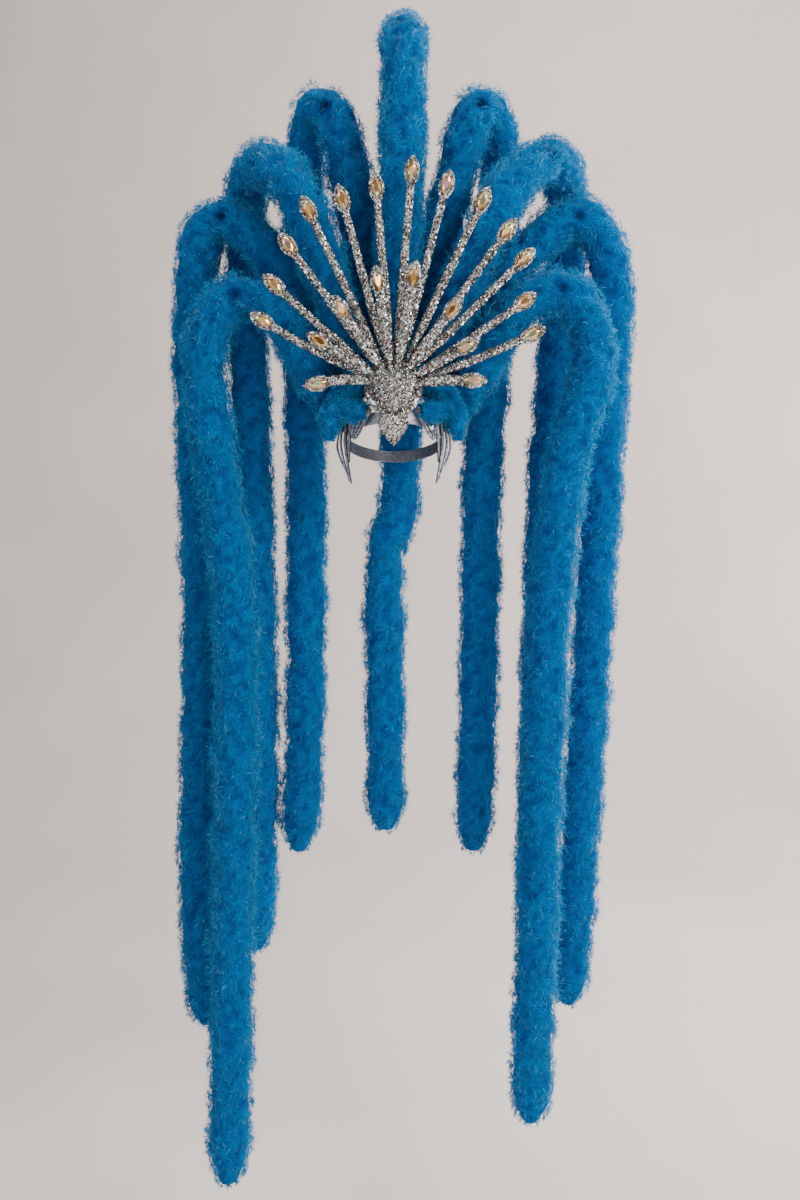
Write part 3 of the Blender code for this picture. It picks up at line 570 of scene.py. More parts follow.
TIE_BEFORE_CREST = 0.012
LONG_SWELL = 0.190
SHORT_SWELL = 0.083
for number, (name, turn, lane, lift, rise, crest, side) in enumerate(ARCHES):
    tail_lane, *tail_places = TAILS[name]
    root, out = crown_point(math.radians(turn), SEAT_GAP)
    lanes = (lane, lane, (lane + tail_lane) / 2, tail_lane)
    knots = [root, root + out * BOA_ROOT_DIAMETER]
    for (x, z), depth in zip((lift, rise, crest, side), lanes):
        knots.append((x * HALF_SPAN, FRONT_LANE + depth * LANE_PITCH, z * CREST_RISE))
    for x, z in tail_places:
        knots.append((x * HALF_SPAN, FRONT_LANE + tail_lane * LANE_PITCH, -z * TAIL_DROP))
    places, along = smooth_path(knots, PATH_STEP)
    root_share = BOA_ROOT_DIAMETER / BOA_DIAMETER
    opened = root_share + (1 - root_share) * np.minimum(along / BOA_ROOT_LENGTH, 1.0)
    ended = rounded_end(along[-1] - along, BOA_TIP_LENGTH)
    swell = 1 + 0.05 * np.sin(2 * np.pi * along / LONG_SWELL + 1.9 * number) + 0.04 * np.sin(
        2 * np.pi * along / SHORT_SWELL + 2.7 * number)
    reach = BOA_DIAMETER / 2 * opened * ended * swell
    tie = along[np.argmin(np.linalg.norm(places - np.array(knots[4]), axis=1))] - TIE_BEFORE_CREST
    marabou(f"{name}_down", places, along, reach, PLUME_PITCH, BARBS_A_PLUME, number, [name], tie)
    if name == "boa_left_4":
        foot, run = places[-1], unit(places[-1] - places[-4])
        hang = [foot - run * 0.010, foot + run * 0.004, foot + run * 0.012, foot + run * 0.020]
        hang[2] += np.array((-0.002, 0.0, 0.0))
        hang[3] += np.array((-0.001, 0.0, 0.0))
        core = twisted_cord(hang, np.zeros((4, 3)), CORE_CORD, CORE_LAY)
        add_piece("boa_left_4_core_cord", core, cotton, smooth=60)


# The ruff: short marabou on a ribbon that runs over the crown from temple to temple, behind the
# front plate, so that no bare frame shows between the fan and the head.
BAND_TILT = math.radians(18)
PLATE_THICKNESS = 0.003
BAND_FRONT = -(HEAD_DEPTH / 2 + BAND_THICKNESS) * math.cos(BAND_TILT)
RUFF_DIAMETER = 0.046
RUFF_STAND_OFF = 0.022
RUFF_LOW_TURN = math.radians(-4)
RUFF_PLUME_PITCH = 0.0016
RUFF_BARBS = 50
FRONT_DOWN_BARBS = 40


def short_strand(name, knots, reach, span, barbs, seed, replaces=()):
    """A strand of short down along knots, rounded over a span at each of its ends."""
    places, along = smooth_path(knots, PATH_STEP)
    reach = reach * rounded_end(np.minimum(along, along[-1] - along), span)
    marabou(f"{name}_down", places, along, reach, RUFF_PLUME_PITCH, barbs, seed, replaces)


stops = 12
ruff_place = BAND_FRONT + PLATE_THICKNESS / 2 + SEAT_GAP + RUFF_DIAMETER / 2
knots = []
for i in range(stops + 1):
    turn = RUFF_LOW_TURN + (math.pi - 2 * RUFF_LOW_TURN) * i / stops
    point, out = crown_point(turn, RUFF_STAND_OFF)
    knots.append((point.x, ruff_place, point.z))
short_strand("feather_ruff", knots, RUFF_DIAMETER / 2, RUFF_DIAMETER, RUFF_BARBS, 50, ["feather_ruff"])


# The ruff's two ends: the same short marabou, turned forward round the plate's rim below the lowest
# stems and tied behind it, so that down meets the boss on both sides.
FAN_HEIGHT = 0.080
FRONT_DOWN_OUTER = 0.104
FRONT_DOWN_INNER = 0.058
FRONT_DOWN_REACH = 0.025
FRONT_DOWN_FIRST = -10
FRONT_DOWN_LAST = -42
FRONT_DOWN_DEEP = 0.024
for side, ruff_side in (("left", -1), ("right", 1)):
    knots = []
    for share in np.linspace(0.0, 1.0, 6):
        turn = math.radians(FRONT_DOWN_FIRST + (FRONT_DOWN_LAST - FRONT_DOWN_FIRST) * share)
        radius = FRONT_DOWN_OUTER + (FRONT_DOWN_INNER - FRONT_DOWN_OUTER) * share
        knots.append((
            ruff_side * radius * math.cos(turn), BAND_FRONT + 0.006 + FRONT_DOWN_DEEP * (1 - share),
            FAN_HEIGHT + radius * math.sin(turn),
        ))
    short_strand(f"ruff_front_{side}", knots, FRONT_DOWN_REACH, FRONT_DOWN_REACH, FRONT_DOWN_BARBS,
                 60 + ruff_side)


# Twenty-one stems in two rows: moulded rods covered all over in chunky silver glitter, plugged into
# the hub. Each carries a leaf-shaped setting with a cut crystal glued in its collar.
LONG_STEM = 0.377
LONG_STEM_WIDTH = 0.017
LONG_STEM_DEPTH = 0.010
LONG_STEM_SPREAD = 0.14
LONG_STEM_FORWARD = 0.012
SHORT_STEM = 0.206
SHORT_STEM_WIDTH = 0.022
SHORT_STEM_DEPTH = 0.012
SHORT_STEM_SPREAD = 0.28
SHORT_STEM_FORWARD = 0.034
STEM_NECK_SHARE = 0.80
HUB_RADIUS = 0.024
SETTING_LENGTH = 0.052
SETTING_WIDTH = 0.027
SETTING_THICKNESS = 0.005
STONE_LENGTH = 0.032
STONE_WIDTH = 0.017
STONE_HEIGHT = 0.0055
STONE_GIRDLE = 0.0015
BOSS_WIDTH = 0.078
BOSS_HEIGHT = 0.072
PLATE_FRONT = BAND_FRONT - PLATE_THICKNESS / 2
LONG_STEM_PLACE = PLATE_FRONT - SEAT_GAP - LONG_STEM_DEPTH / 2
SHORT_STEM_PLACE = LONG_STEM_PLACE - LONG_STEM_DEPTH / 2 - SEAT_GAP - SHORT_STEM_DEPTH / 2
GRAIN_SIZE = 0.0027
GRAIN_HEIGHT = 0.0010
GRAIN_TILT = 0.35
BODY_SHADE = 0.35
# A rod of full length carries this many grains, set in a spiral.
FULL_ROD = 0.26
FULL_ROD_GRAINS = 480
ROD_RING_STEP = 0.0032
ROD_ROUGHNESS = 0.00034
MARGIN_GRAINS = 90
FLANK_POWER = 1.5

# turn from the viewer's right in degrees, length as a share of the row's longest, bow to the left
LONG_STEMS = [
    (153.0, 0.72, 0.02), (139.5, 0.76, 0.01), (127.0, 0.84, 0.0), (116.0, 0.92, 0.0), (105.5, 0.91, 0.0),
    (95.0, 0.93, 0.0), (85.0, 1.00, 0.0), (75.0, 0.97, 0.0), (64.0, 0.96, 0.0), (53.5, 0.91, 0.0),
    (44.0, 0.87, 0.0), (33.0, 0.76, -0.01), (21.0, 0.73, -0.02),
]
SHORT_STEMS = [
    (181.0, 0.74, -0.09), (149.0, 0.82, 0.0), (124.5, 0.87, 0.0), (98.5, 0.96, 0.0), (79.5, 1.00, 0.0),
    (52.0, 0.90, 0.0), (28.5, 0.80, 0.0), (3.0, 0.77, 0.04),
]

# Silvered polyester glitter in clear lacquer: each flake is a tiny mirror. The flakes are painted from nearly
# black to white, as painted shade and painted glints, and a few catch pink or green.


def glitter_finish(name, flake):
    """Lacquer full of flakes that are this far across, a little over the real ones so that they show."""
    material, tree = new_material(name)
    grain = add_node(tree, "ShaderNodeAttribute", attribute_name="grain")
    spot = add_node(tree, "ShaderNodeTexCoord")
    flakes = add_node(tree, "ShaderNodeTexVoronoi", {"Vector": spot.outputs["Object"], "Scale": 1 / flake})
    draws = add_node(tree, "ShaderNodeSeparateColor", {"Color": flakes.outputs["Color"]})
    mixed = add_node(tree, "ShaderNodeMath", {0: draws.outputs["Red"], 1: grain.outputs["Fac"]},
                     operation="ADD")
    pick = add_node(tree, "ShaderNodeMath", {0: mixed}, operation="FRACT")
    # Nearly black to white flakes are painted shade and painted glints; the pink, green and blue ones are the
    # glitter's own tints.
    flake_tint_and_painted_glint = add_node(tree, "ShaderNodeValToRGB", {"Fac": pick}, stops=[
        (0.00, "#1d1b18"), (0.16, "#4a4640"), (0.36, "#857f76"), (0.58, "#b5b0a8"), (0.72, "#f2f0ec"),
        (0.82, "#ffffff"), (0.88, "#e39fba"), (0.94, "#95d6b8"), (1.00, "#8799d2"),
    ])
    around = add_node(tree, "ShaderNodeVectorMath", {0: flakes.outputs["Color"], 1: (0.5, 0.5, 0.5)},
                      operation="SUBTRACT")
    tilted = add_node(tree, "ShaderNodeVectorMath", {0: around, "Scale": 1.5}, operation="SCALE")
    surface = add_node(tree, "ShaderNodeNewGeometry")
    leaning = add_node(tree, "ShaderNodeVectorMath", {0: surface.outputs["Normal"], 1: tilted},
                       operation="ADD")
    facing = add_node(tree, "ShaderNodeVectorMath", {0: leaning}, operation="NORMALIZE")
    sparkle = add_node(tree, "ShaderNodeBsdfPrincipled", {
        "Base Color": flake_tint_and_painted_glint, "Metallic": 0.90, "Roughness": 0.22,
        "Normal": facing, "Coat Weight": 0.3, "Coat Roughness": 0.15,
    })
    add_node(tree, "ShaderNodeOutputMaterial", {"Surface": sparkle})
    return material


glitter = glitter_finish("silver_glitter_in_lacquer", 0.0026)
chunky_glitter = glitter_finish("chunky_silver_glitter_in_lacquer", 0.0036)

# Foiled crystal with an aurora coat: the foiling behind makes it a gold mirror, and the coat turns some
# facets pink and others green. Each facet's colour is picked by the way it faces, as painted flashes, with
# light gold as painted highlights.
crystal, tree = new_material("aurora_cut_crystal")
facet = add_node(tree, "ShaderNodeAttribute", attribute_name="facet")
aurora_tints_and_painted_flash = add_node(tree, "ShaderNodeValToRGB", {"Fac": facet.outputs["Fac"]}, stops=[
    (0.00, "#4d3a2b"), (0.16, "#96632c"), (0.36, "#dba850"), (0.54, "#fbe7a6"),
    (0.68, "#d9788f"), (0.84, "#8fc07c"), (1.00, "#6b4c3a"),
])
gem = add_node(tree, "ShaderNodeBsdfPrincipled", {
    "Base Color": aurora_tints_and_painted_flash, "Metallic": 0.65, "Roughness": 0.10,
    "Coat Weight": 1.0, "Coat Roughness": 0.02,
})
add_node(tree, "ShaderNodeOutputMaterial", {"Surface": gem})


def points(x, y, z):
    """Places from their three coordinates, each of them a row of values or one value for all."""
    return np.stack(np.broadcast_arrays(x, y, z), axis=-1)


def flank(turn):
    """How far out the flank of a pointed oval is at a turn, from -1 to 1."""
    return np.sign(np.sin(turn)) * np.abs(np.sin(turn)) ** FLANK_POWER


def navette(length, width, sides):
    """A pointed oval from two curved flanks, long in X, as places with no depth."""
    turn = turns_round(sides)
    return points(length / 2 * np.cos(turn), 0.0, width / 2 * flank(turn))


def moved(matrix, places):
    """The places under a 4 by 4 matrix."""
    matrix = np.array(matrix)
    return places @ matrix[:3, :3].T + matrix[:3, 3]


def moved_shape(matrix, shape):
    """A shape, its places and its triangles, under a 4 by 4 matrix."""
    return moved(matrix, shape[0]), shape[1]


def grains(places, normals, size, height, tilt, draw):
    """Faceted grains of glitter: four-sided pyramids set on a surface at random tilts."""
    count = len(places)
    up = unit(normals + draw.normal(0.0, tilt, (count, 3)))
    side = unit(np.cross(up, unit(draw.normal(size=(count, 3)))))
    other = np.cross(up, side)
    half = size / 2 * draw.uniform(0.7, 1.25, count)[:, None]
    sunk = places - up * height * 0.25
    corners = [sunk + side * half, sunk + other * half, sunk - side * half, sunk - other * half]
    corners.append(places + up * height * draw.uniform(0.6, 1.2, count)[:, None])
    first = np.arange(count)[:, None] * 5
    triangles = np.concatenate([first + (i, (i + 1) % 4, 4) for i in range(4)])
    return np.stack(corners, axis=1).reshape(-1, 3), triangles, np.repeat(draw.uniform(0.0, 1.0, count), 5)


def add_glittered(name, bodies, coats, replaces=(), finish=glitter, turned=None, shades=None):
    """Makes one piece of bodies and the coats of grains on them. shades are the bodies' own, from 0 to 1."""
    shape = together(bodies + [coat[:2] for coat in coats])
    if turned is not None:
        shape = moved_shape(turned, shape)
    shades = shades or [BODY_SHADE] * len(bodies)
    tints = [np.full(len(body[0]), shade) for body, shade in zip(bodies, shades)]
    tints += [coat[2] for coat in coats]
    add_piece(f"{name}_glittered", shape, finish, replaces,
              marks={"grain": np.concatenate(tints)})


def stem_places(stem, longest, forward, distance):
    """Places along a stem that runs out along X: straight past the boss, then leaning forward."""
    _, share, bow = stem
    length = longest * share
    past_boss = np.maximum(distance - BOSS_WIDTH / 2, 0.0) / (longest - BOSS_WIDTH / 2)
    return points(distance, -forward * past_boss ** 2, bow * length * np.sin(np.pi * distance / length))


def make_stem(name, stem, longest, width, depth, spread, place, forward, seed):
    """A glittered rod with its setting, and the cut stone in it."""
    draw = np.random.default_rng(seed)
    turn, share, _ = stem
    setting_middle = longest * share - SETTING_LENGTH / 2
    start = HUB_RADIUS + SEAT_GAP
    end = setting_middle - STONE_LENGTH / 2 - SEAT_GAP

    def surface(distance, angle):
        """Places and normals on the rod, at a distance out along it and an angle round it."""
        middle = stem_places(stem, longest, forward, distance)
        run = unit(stem_places(stem, longest, forward, distance + 0.001) - middle)
        across = unit(np.cross(run, (0.0, 1.0, 0.0)))
        back = np.cross(across, run)
        narrowing = 1 - (1 - STEM_NECK_SHARE) * (distance - start) / (end - start)
        full = np.minimum(spread * distance / width, narrowing) * 0.95
        wide = (full * width / 2)[:, None]
        deep = (full * depth / 2)[:, None]
        cos, sin = np.cos(angle)[:, None], np.sin(angle)[:, None]
        return middle + across * wide * cos + back * deep * sin, unit(across * cos / wide + back * sin / deep)

    rings = max(8, int((end - start) / ROD_RING_STEP))
    sides = 12
    angles = np.tile(turns_round(sides), rings + 1)
    distances = np.repeat(np.linspace(start, end, rings + 1), sides)
    rod_places, rod_normals = surface(distances, angles)
    rod_places = rod_places + rod_normals * draw.normal(0.0, ROD_ROUGHNESS, len(rod_places))[:, None]
    rod = skin(rod_places.reshape(rings + 1, sides, 3))
    count = int((end - start) / FULL_ROD * FULL_ROD_GRAINS)
    where = start + (end - start) * (np.arange(count) + draw.uniform(0.0, 1.0, count)) / count
    round_it = np.arange(count) * GOLDEN_TURN + draw.normal(0.0, 0.2, count)
    grain_places, grain_normals = surface(where, round_it)
    rod_coat = grains(grain_places, grain_normals, GRAIN_SIZE, GRAIN_HEIGHT, GRAIN_TILT, draw)

    held_at = stem_places(stem, longest, forward, np.array([setting_middle]))[0]
    before = stem_places(stem, longest, forward, np.array([setting_middle - STONE_LENGTH]))[0]
    along = unit(held_at - before)
    across = -unit(np.cross((0.0, 1.0, 0.0), along))
    back = np.cross(across, along)
    held = np.eye(4)
    held[:3, 0], held[:3, 1], held[:3, 2], held[:3, 3] = along, back, across, held_at

    outline = navette(SETTING_LENGTH, SETTING_WIDTH, 28)
    half = SETTING_THICKNESS / 2
    leaf_rings = []
    for size, y in ((0.86, half), (0.97, half * 0.5), (1.0, -half * 0.1), (0.95, -half * 0.7), (0.80, -half)):
        leaf_rings.append(outline * size + (0.0, y, 0.0))
    leaf = moved_shape(held, skin(leaf_rings))
    around = 2 * np.pi * draw.uniform(0.0, 1.0, MARGIN_GRAINS)
    out_share = draw.uniform(0.76, 0.99, MARGIN_GRAINS)
    margin = points(
        SETTING_LENGTH / 2 * np.cos(around) * out_share,
        -half * (1.05 - 0.75 * np.maximum(out_share - 0.80, 0.0) / 0.19),
        SETTING_WIDTH / 2 * flank(around) * out_share,
    )
    facing = unit(points(np.cos(around) * 0.4, -1.0, flank(around) * 0.6))
    leaf_coat = grains(
        moved(held, margin), facing @ held[:3, :3].T, GRAIN_SIZE * 0.9, GRAIN_HEIGHT, 0.30, draw)

    collar_line = navette(STONE_LENGTH + 0.0014, STONE_WIDTH + 0.0016, 28)
    collar_rings = []
    for point in collar_line:
        outward = unit(point * (1.0, 0.0, 3.0))
        collar_rings.append([
            point + outward * 0.0009 * math.cos(bend)
            + np.array((0.0, -half - 0.0004 - 0.0013 * math.sin(bend), 0.0)) for bend in turns_round(6)
        ])
    collar = moved_shape(held, skin(np.array(collar_rings + collar_rings[:1])))

    turned = Matrix.Translation((0, place, FAN_HEIGHT)) @ Matrix.Rotation(-math.radians(turn), 4, "Y")
    add_glittered(name, [rod, leaf, collar], [rod_coat, leaf_coat], [name], turned=turned)

    front = -half - SEAT_GAP
    sides = 16
    girdle = navette(STONE_LENGTH, STONE_WIDTH, sides)
    between = (girdle + np.roll(girdle, -1, axis=0)) / 2
    levels = [
        girdle * 0.96 + (0.0, front, 0.0),
        girdle + (0.0, front - STONE_GIRDLE * 0.4, 0.0),
        girdle + (0.0, front - STONE_GIRDLE, 0.0),
        between * 0.80 + (0.0, front - STONE_GIRDLE - (STONE_HEIGHT - STONE_GIRDLE) * 0.58, 0.0),
        between * 0.50 + (0.0, front - STONE_HEIGHT, 0.0),
    ]
    stone_places, stone_triangles = skin(levels)
    corners = stone_places[stone_triangles]
    facet_normals = unit(square_to(corners))
    flat_places = moved(turned @ Matrix(held), corners.reshape(-1, 3))
    flat_triangles = np.arange(len(flat_places)).reshape(-1, 3)
    # Facet colours follow each facet's direction, as painted flashes; the steep facets round the girdle are
    # set dark brown.
    painted_flash = 0.46 + 0.34 * np.sin(3.6 * facet_normals[:, 0] + 0.7 * turn) + 0.26 * np.sin(
        5.2 * facet_normals[:, 2] + 1.3 * turn)
    steep = np.abs(facet_normals[:, 1]) < 0.35
    painted_flash = np.where(steep, 0.04, np.clip(painted_flash, 0.1, 0.98))
    add_piece(f"{name}_stone_cut", (flat_places, flat_triangles), crystal,
              [f"{name}_stone"], marks={"facet": np.repeat(painted_flash, 3)})


for number, stem in enumerate(LONG_STEMS, 1):
    make_stem(f"long_stem_{number:02d}", stem, LONG_STEM, LONG_STEM_WIDTH, LONG_STEM_DEPTH,
              LONG_STEM_SPREAD, LONG_STEM_PLACE, LONG_STEM_FORWARD, 200 + number)
for number, stem in enumerate(SHORT_STEMS, 1):
    make_stem(f"short_stem_{number}", stem, SHORT_STEM, SHORT_STEM_WIDTH, SHORT_STEM_DEPTH,
              SHORT_STEM_SPREAD, SHORT_STEM_PLACE, SHORT_STEM_FORWARD, 300 + number)


# The plate behind the stems' roots: its face is brushed with the same lacquer and glitter as the
# stems, so that the fan seems to grow out of one glittering mass.
PLATE_RADIUS = 0.050
FACE_COAT = 0.0002
FACE_GRAINS = 900


def round_hub(radius, sides, depth):
    """A ring of places that faces forward round the hub's middle, at a depth."""
    turns = turns_round(sides)
    return points(radius * np.cos(turns), depth, FAN_HEIGHT + radius * np.sin(turns))


draw = np.random.default_rng(390)
face = skin([round_hub(PLATE_RADIUS * 0.985, 48, PLATE_FRONT - lift) for lift in (0.00002, FACE_COAT)])
far_out = PLATE_RADIUS * 0.95 * np.sqrt(draw.uniform(0.12, 1.0, FACE_GRAINS))
turn = draw.uniform(0.0, 360.0, FACE_GRAINS)
clear = np.full(FACE_GRAINS, True)
for stem_turn, _, _ in LONG_STEMS:
    off = np.radians((turn - stem_turn + 180) % 360 - 180)
    beside = np.abs(np.sin(off)) * far_out > LONG_STEM_SPREAD * far_out / 2 + GRAIN_SIZE / 2
    clear &= beside | (np.cos(off) < 0)
turn, far_out = np.radians(turn[clear]), far_out[clear]
seats = points(far_out * np.cos(turn), PLATE_FRONT - FACE_COAT, FAN_HEIGHT + far_out * np.sin(turn))
normals = np.tile((0.0, -1.0, 0.0), (len(turn), 1))
add_glittered("plate_face", [face], [grains(seats, normals, GRAIN_SIZE, GRAIN_HEIGHT, GRAIN_TILT, draw)])


# The boss: a domed shell where the stems come together, a rounded V with its point over the
# forehead. Each short stem's root swells its rim, and coarse glitter covers all of it.
BOSS_RIM = 0.004
BOSS_DOME = 0.016
BOSS_POINT_HEIGHT = 0.038
BOSS_TOP_OF_DOME = 0.60
COARSE_GRAIN = 0.0046
COARSE_GRAIN_HEIGHT = 0.0021
SWELL_HEIGHT = 0.0035
BOSS_RIM_SHARE = SHORT_STEM_SPREAD * BOSS_WIDTH / 2 / SHORT_STEM_WIDTH
BOSS_BACK = SHORT_STEM_PLACE - SHORT_STEM_DEPTH / 2 * BOSS_RIM_SHARE - SEAT_GAP
# share of the outline left, share of the dome's height
DOME_LEVELS = [(1.00, 0.00), (0.95, 0.20), (0.86, 0.40), (0.74, 0.60), (0.60, 0.78), (0.42, 0.92),
               (0.24, 0.99), (0.08, 1.00)]


def domed(outline, size, middle, rim, dome, swell):
    """A flat-backed dome on an outline in shares of its size. swell adds to its depth at (x, z, share)."""
    width, height = size

    def ring(share, depth):
        x = outline[:, 0] * width / 2 * share
        z = height * (middle + (outline[:, 1] - middle) * share)
        return points(x, -depth - swell(x, z, share) * (depth > 0), z)

    return skin([ring(1.0, 0.0)] + [ring(share, rim + dome * rise) for share, rise in DOME_LEVELS])


def scattered(shape, count, draw, facing=-0.25):
    """Places spread evenly over the faces of a shape that look forward, with the faces' normals."""
    places, triangles = shape
    corners = places[triangles]
    sides = square_to(corners)
    area = np.linalg.norm(sides, axis=1)
    normals = unit(sides)
    area[normals[:, 1] > facing] = 0.0
    chosen = draw.choice(len(area), count, p=area / area.sum())
    a, b = np.sort(draw.uniform(0.0, 1.0, (2, count)), axis=0)
    weights = np.stack([a, b - a, 1 - b], axis=1)[:, :, None]
    return (corners[chosen] * weights).sum(axis=1), normals[chosen]


def with_left_half(right):
    """A whole outline from its right half, which runs from the foot up."""
    return np.array(right + [(-out, up) for out, up in reversed(right[1:-1])])


steps = 26
ups = np.linspace(0.0, 1.0, steps + 1)
reaches = ups ** 0.62 * (1 - ups ** 7) ** 0.5
boss_outline = with_left_half(list(zip(reaches / reaches.max(), ups)))
hub_up = FAN_HEIGHT - BOSS_POINT_HEIGHT


def stem_swell(x, z, share):
    """The ridges that run in from the short stems' roots."""
    turn = np.degrees(np.arctan2(z - hub_up, x))
    ridge = np.zeros(len(x))
    for stem_turn, _, _ in SHORT_STEMS:
        off = (turn - stem_turn + 180) % 360 - 180
        ridge = np.maximum(ridge, np.exp(-(off / 8.0) ** 2))
    return ridge * SWELL_HEIGHT * share


draw = np.random.default_rng(400)
boss = domed(boss_outline, (BOSS_WIDTH, BOSS_HEIGHT), BOSS_TOP_OF_DOME, BOSS_RIM, BOSS_DOME, stem_swell)
boss = (boss[0] + (0.0, BOSS_BACK, BOSS_POINT_HEIGHT), boss[1])
hub = skin([round_hub(HUB_RADIUS, 24, depth) for depth in (PLATE_FRONT - SEAT_GAP, BOSS_BACK)])
coarse = grains(*scattered(boss, 1000, draw), COARSE_GRAIN, COARSE_GRAIN_HEIGHT, 0.36, draw)
fine = grains(*scattered(boss, 1300, draw, facing=0.2), GRAIN_SIZE, GRAIN_HEIGHT, GRAIN_TILT, draw)
add_glittered("boss", [boss, hub], [coarse, fine], ["boss"], chunky_glitter)


# The leaf drop over the hairline: a flat-backed leaf with two lobes above, a low ridge down its
# middle and a row of small round stones set along its margin.
LEAF_WIDTH = 0.052
LEAF_HEIGHT = 0.059
LEAF_RIM = 0.003
LEAF_DOME = 0.006
LEAF_LAP = 0.003
LEAF_TOP_OF_DOME = 0.62
BAND_HEIGHT = 0.022
BAND_LOWER_FRONT = BAND_FRONT - BAND_HEIGHT / 2 * math.sin(BAND_TILT)
MARGIN_STONE = 0.0032
MARGIN_SHARE = 0.88
STONE_SHADE = 0.80
RIDGE_HEIGHT = 0.0016
RIDGE_WIDTH = 0.0028
LEAF_EDGES = [(0.00, 0.00), (0.42, 0.20), (0.82, 0.44), (1.00, 0.68), (0.95, 0.86), (0.68, 0.98),
              (0.26, 1.00), (0.00, 0.97)]


def chaton(place, normal, size):
    """A small round cut stone with eight sides."""
    normal = unit(np.array(normal))
    side = unit(np.cross(normal, (0.0, 0.0, 1.0)))
    other = np.cross(normal, side)
    turns = turns_round(8)
    ring = np.cos(turns)[:, None] * side + np.sin(turns)[:, None] * other
    return skin([
        place + ring * size / 2, place + ring * size / 2 + normal * size * 0.12,
        place + ring * size * 0.28 + normal * size * 0.34,
    ])


right_edge, _ = smooth_path([(out, 0.0, up) for out, up in LEAF_EDGES], 0.07)
leaf_outline = with_left_half([(max(x, 0.0), z) for x, _, z in right_edge])


def leaf_ridge(x, z, share):
    """The ridge down the middle, from the notch to the tip."""
    return RIDGE_HEIGHT * np.exp(-(x / RIDGE_WIDTH) ** 2)


leaf = domed(leaf_outline, (LEAF_WIDTH, LEAF_HEIGHT), LEAF_TOP_OF_DOME, LEAF_RIM, LEAF_DOME * 0.85,
             leaf_ridge)
leaf_foot = BOSS_POINT_HEIGHT + LEAF_LAP - LEAF_HEIGHT
leaf = (leaf[0] + (0.0, BAND_LOWER_FRONT - SEAT_GAP, leaf_foot), leaf[1])
draw = np.random.default_rng(410)
leaf_coat = grains(*scattered(leaf, 1000, draw), GRAIN_SIZE * 1.15, GRAIN_HEIGHT * 1.2, 0.32, draw)
edge = points(
    leaf_outline[:, 0] * LEAF_WIDTH / 2 * MARGIN_SHARE,
    BAND_LOWER_FRONT - SEAT_GAP - LEAF_RIM - LEAF_DOME * 0.30,
    leaf_foot + LEAF_HEIGHT * (LEAF_TOP_OF_DOME + (leaf_outline[:, 1] - LEAF_TOP_OF_DOME) * MARGIN_SHARE),
)
edge = np.concatenate([edge, edge[:1]])
travelled = length_so_far(edge)
margin = []
for distance in np.arange(0.0, travelled[-1] - MARGIN_STONE * 0.6, MARGIN_STONE * 1.12):
    place = at_distance(distance, travelled, edge)
    margin.append(chaton(place, (place[0] * 12, -1.0, 0.15), MARGIN_STONE))
add_glittered("leaf_drop", [leaf] + margin, [leaf_coat], ["leaf_drop"], chunky_glitter,
              shades=[BODY_SHADE] + [STONE_SHADE] * len(margin))


# The side wings: strips of silver braid that spread beside the temple and meet below it, with a
# twisted cord sewn along the band's edge and round the comma-shaped scroll in front.
WING_STRIP_WIDTH = 0.010
WING_STRIP_THICKNESS = 0.003
WING_LIFT = 0.024
WING_DROP = 0.092
WING_LEAN_IN = 0.012
SCROLL_WIDTH = 0.024
SCROLL_THICKNESS = 0.004
WING_SEAT_GAP = 0.0007
CORD_THICKNESS = 0.0022
CORD_LAY = 0.0045
# top, middle and foot turn round the head from the front, lift, drop, flare
WING_STRIPS = [
    (51, 54, 64, 0.68, 0.62, 0.10), (60, 63, 68, 0.86, 1.00, 0.35),
    (69, 71, 72, 1.00, 0.96, 0.65), (78, 79, 76, 0.90, 0.80, 1.00),
]
# turn, height as a share of WING_LIFT, breadth as a share of the piece's width
EDGE_RUN = [(26, 0.56, 0.5), (39, 0.56, 0.7), (51, 0.68, 0.9), (60, 0.86, 1.0), (69, 1.00, 1.0),
            (78, 0.90, 0.9), (82, 0.72, 0.5)]
SCROLL_RUN = [(24, 0.62, 0.28), (30, 0.40, 0.50), (36, 0.00, 0.82), (42, -0.45, 1.00),
              (46, -0.85, 0.78), (48, -1.10, 0.30)]
SCROLL_GRAINS = 420

# Metallic braid: flat polyester strip with a vacuum-laid silver skin, woven over cords, so it is duller than
# metal. It is painted dark between its ribs and on its back as painted shade, and greyer where it was
# handled.
metallic, tree = new_material("silver_metallic_braid")
spot = add_node(tree, "ShaderNodeTexCoord")
rib = add_node(tree, "ShaderNodeAttribute", attribute_name="rib")
wear = add_node(tree, "ShaderNodeTexNoise",
                {"Vector": spot.outputs["Object"], "Scale": 160.0, "Detail": 3.0})
mixed = add_node(tree, "ShaderNodeMath", {0: rib.outputs["Fac"], 1: wear}, operation="MULTIPLY")
# The height on the rib paints shade into the grooves and onto the back; the noise is wear.
worn_grey_and_painted_rib_shade = add_node(tree, "ShaderNodeValToRGB", {"Fac": mixed}, stops=[
    (0.06, "#14161c"), (0.24, "#4c5261"), (0.46, "#8f97a6"), (0.66, "#dfe5ec"),
])
# Crossing threads 1.2 mm apart, three times the real spacing so that they show.
threads = add_node(tree, "ShaderNodeTexWave",
                   {"Vector": spot.outputs["Object"], "Scale": 130.0, "Distortion": 1.5}, bands_direction="Z")
relief = add_node(tree, "ShaderNodeBump",
                  {"Height": threads.outputs["Fac"], "Strength": 0.7, "Distance": 0.0006})
braid = add_node(tree, "ShaderNodeBsdfPrincipled", {
    "Base Color": worn_grey_and_painted_rib_shade, "Metallic": 0.80, "Roughness": 0.38, "Normal": relief,
})
add_node(tree, "ShaderNodeOutputMaterial", {"Surface": braid})


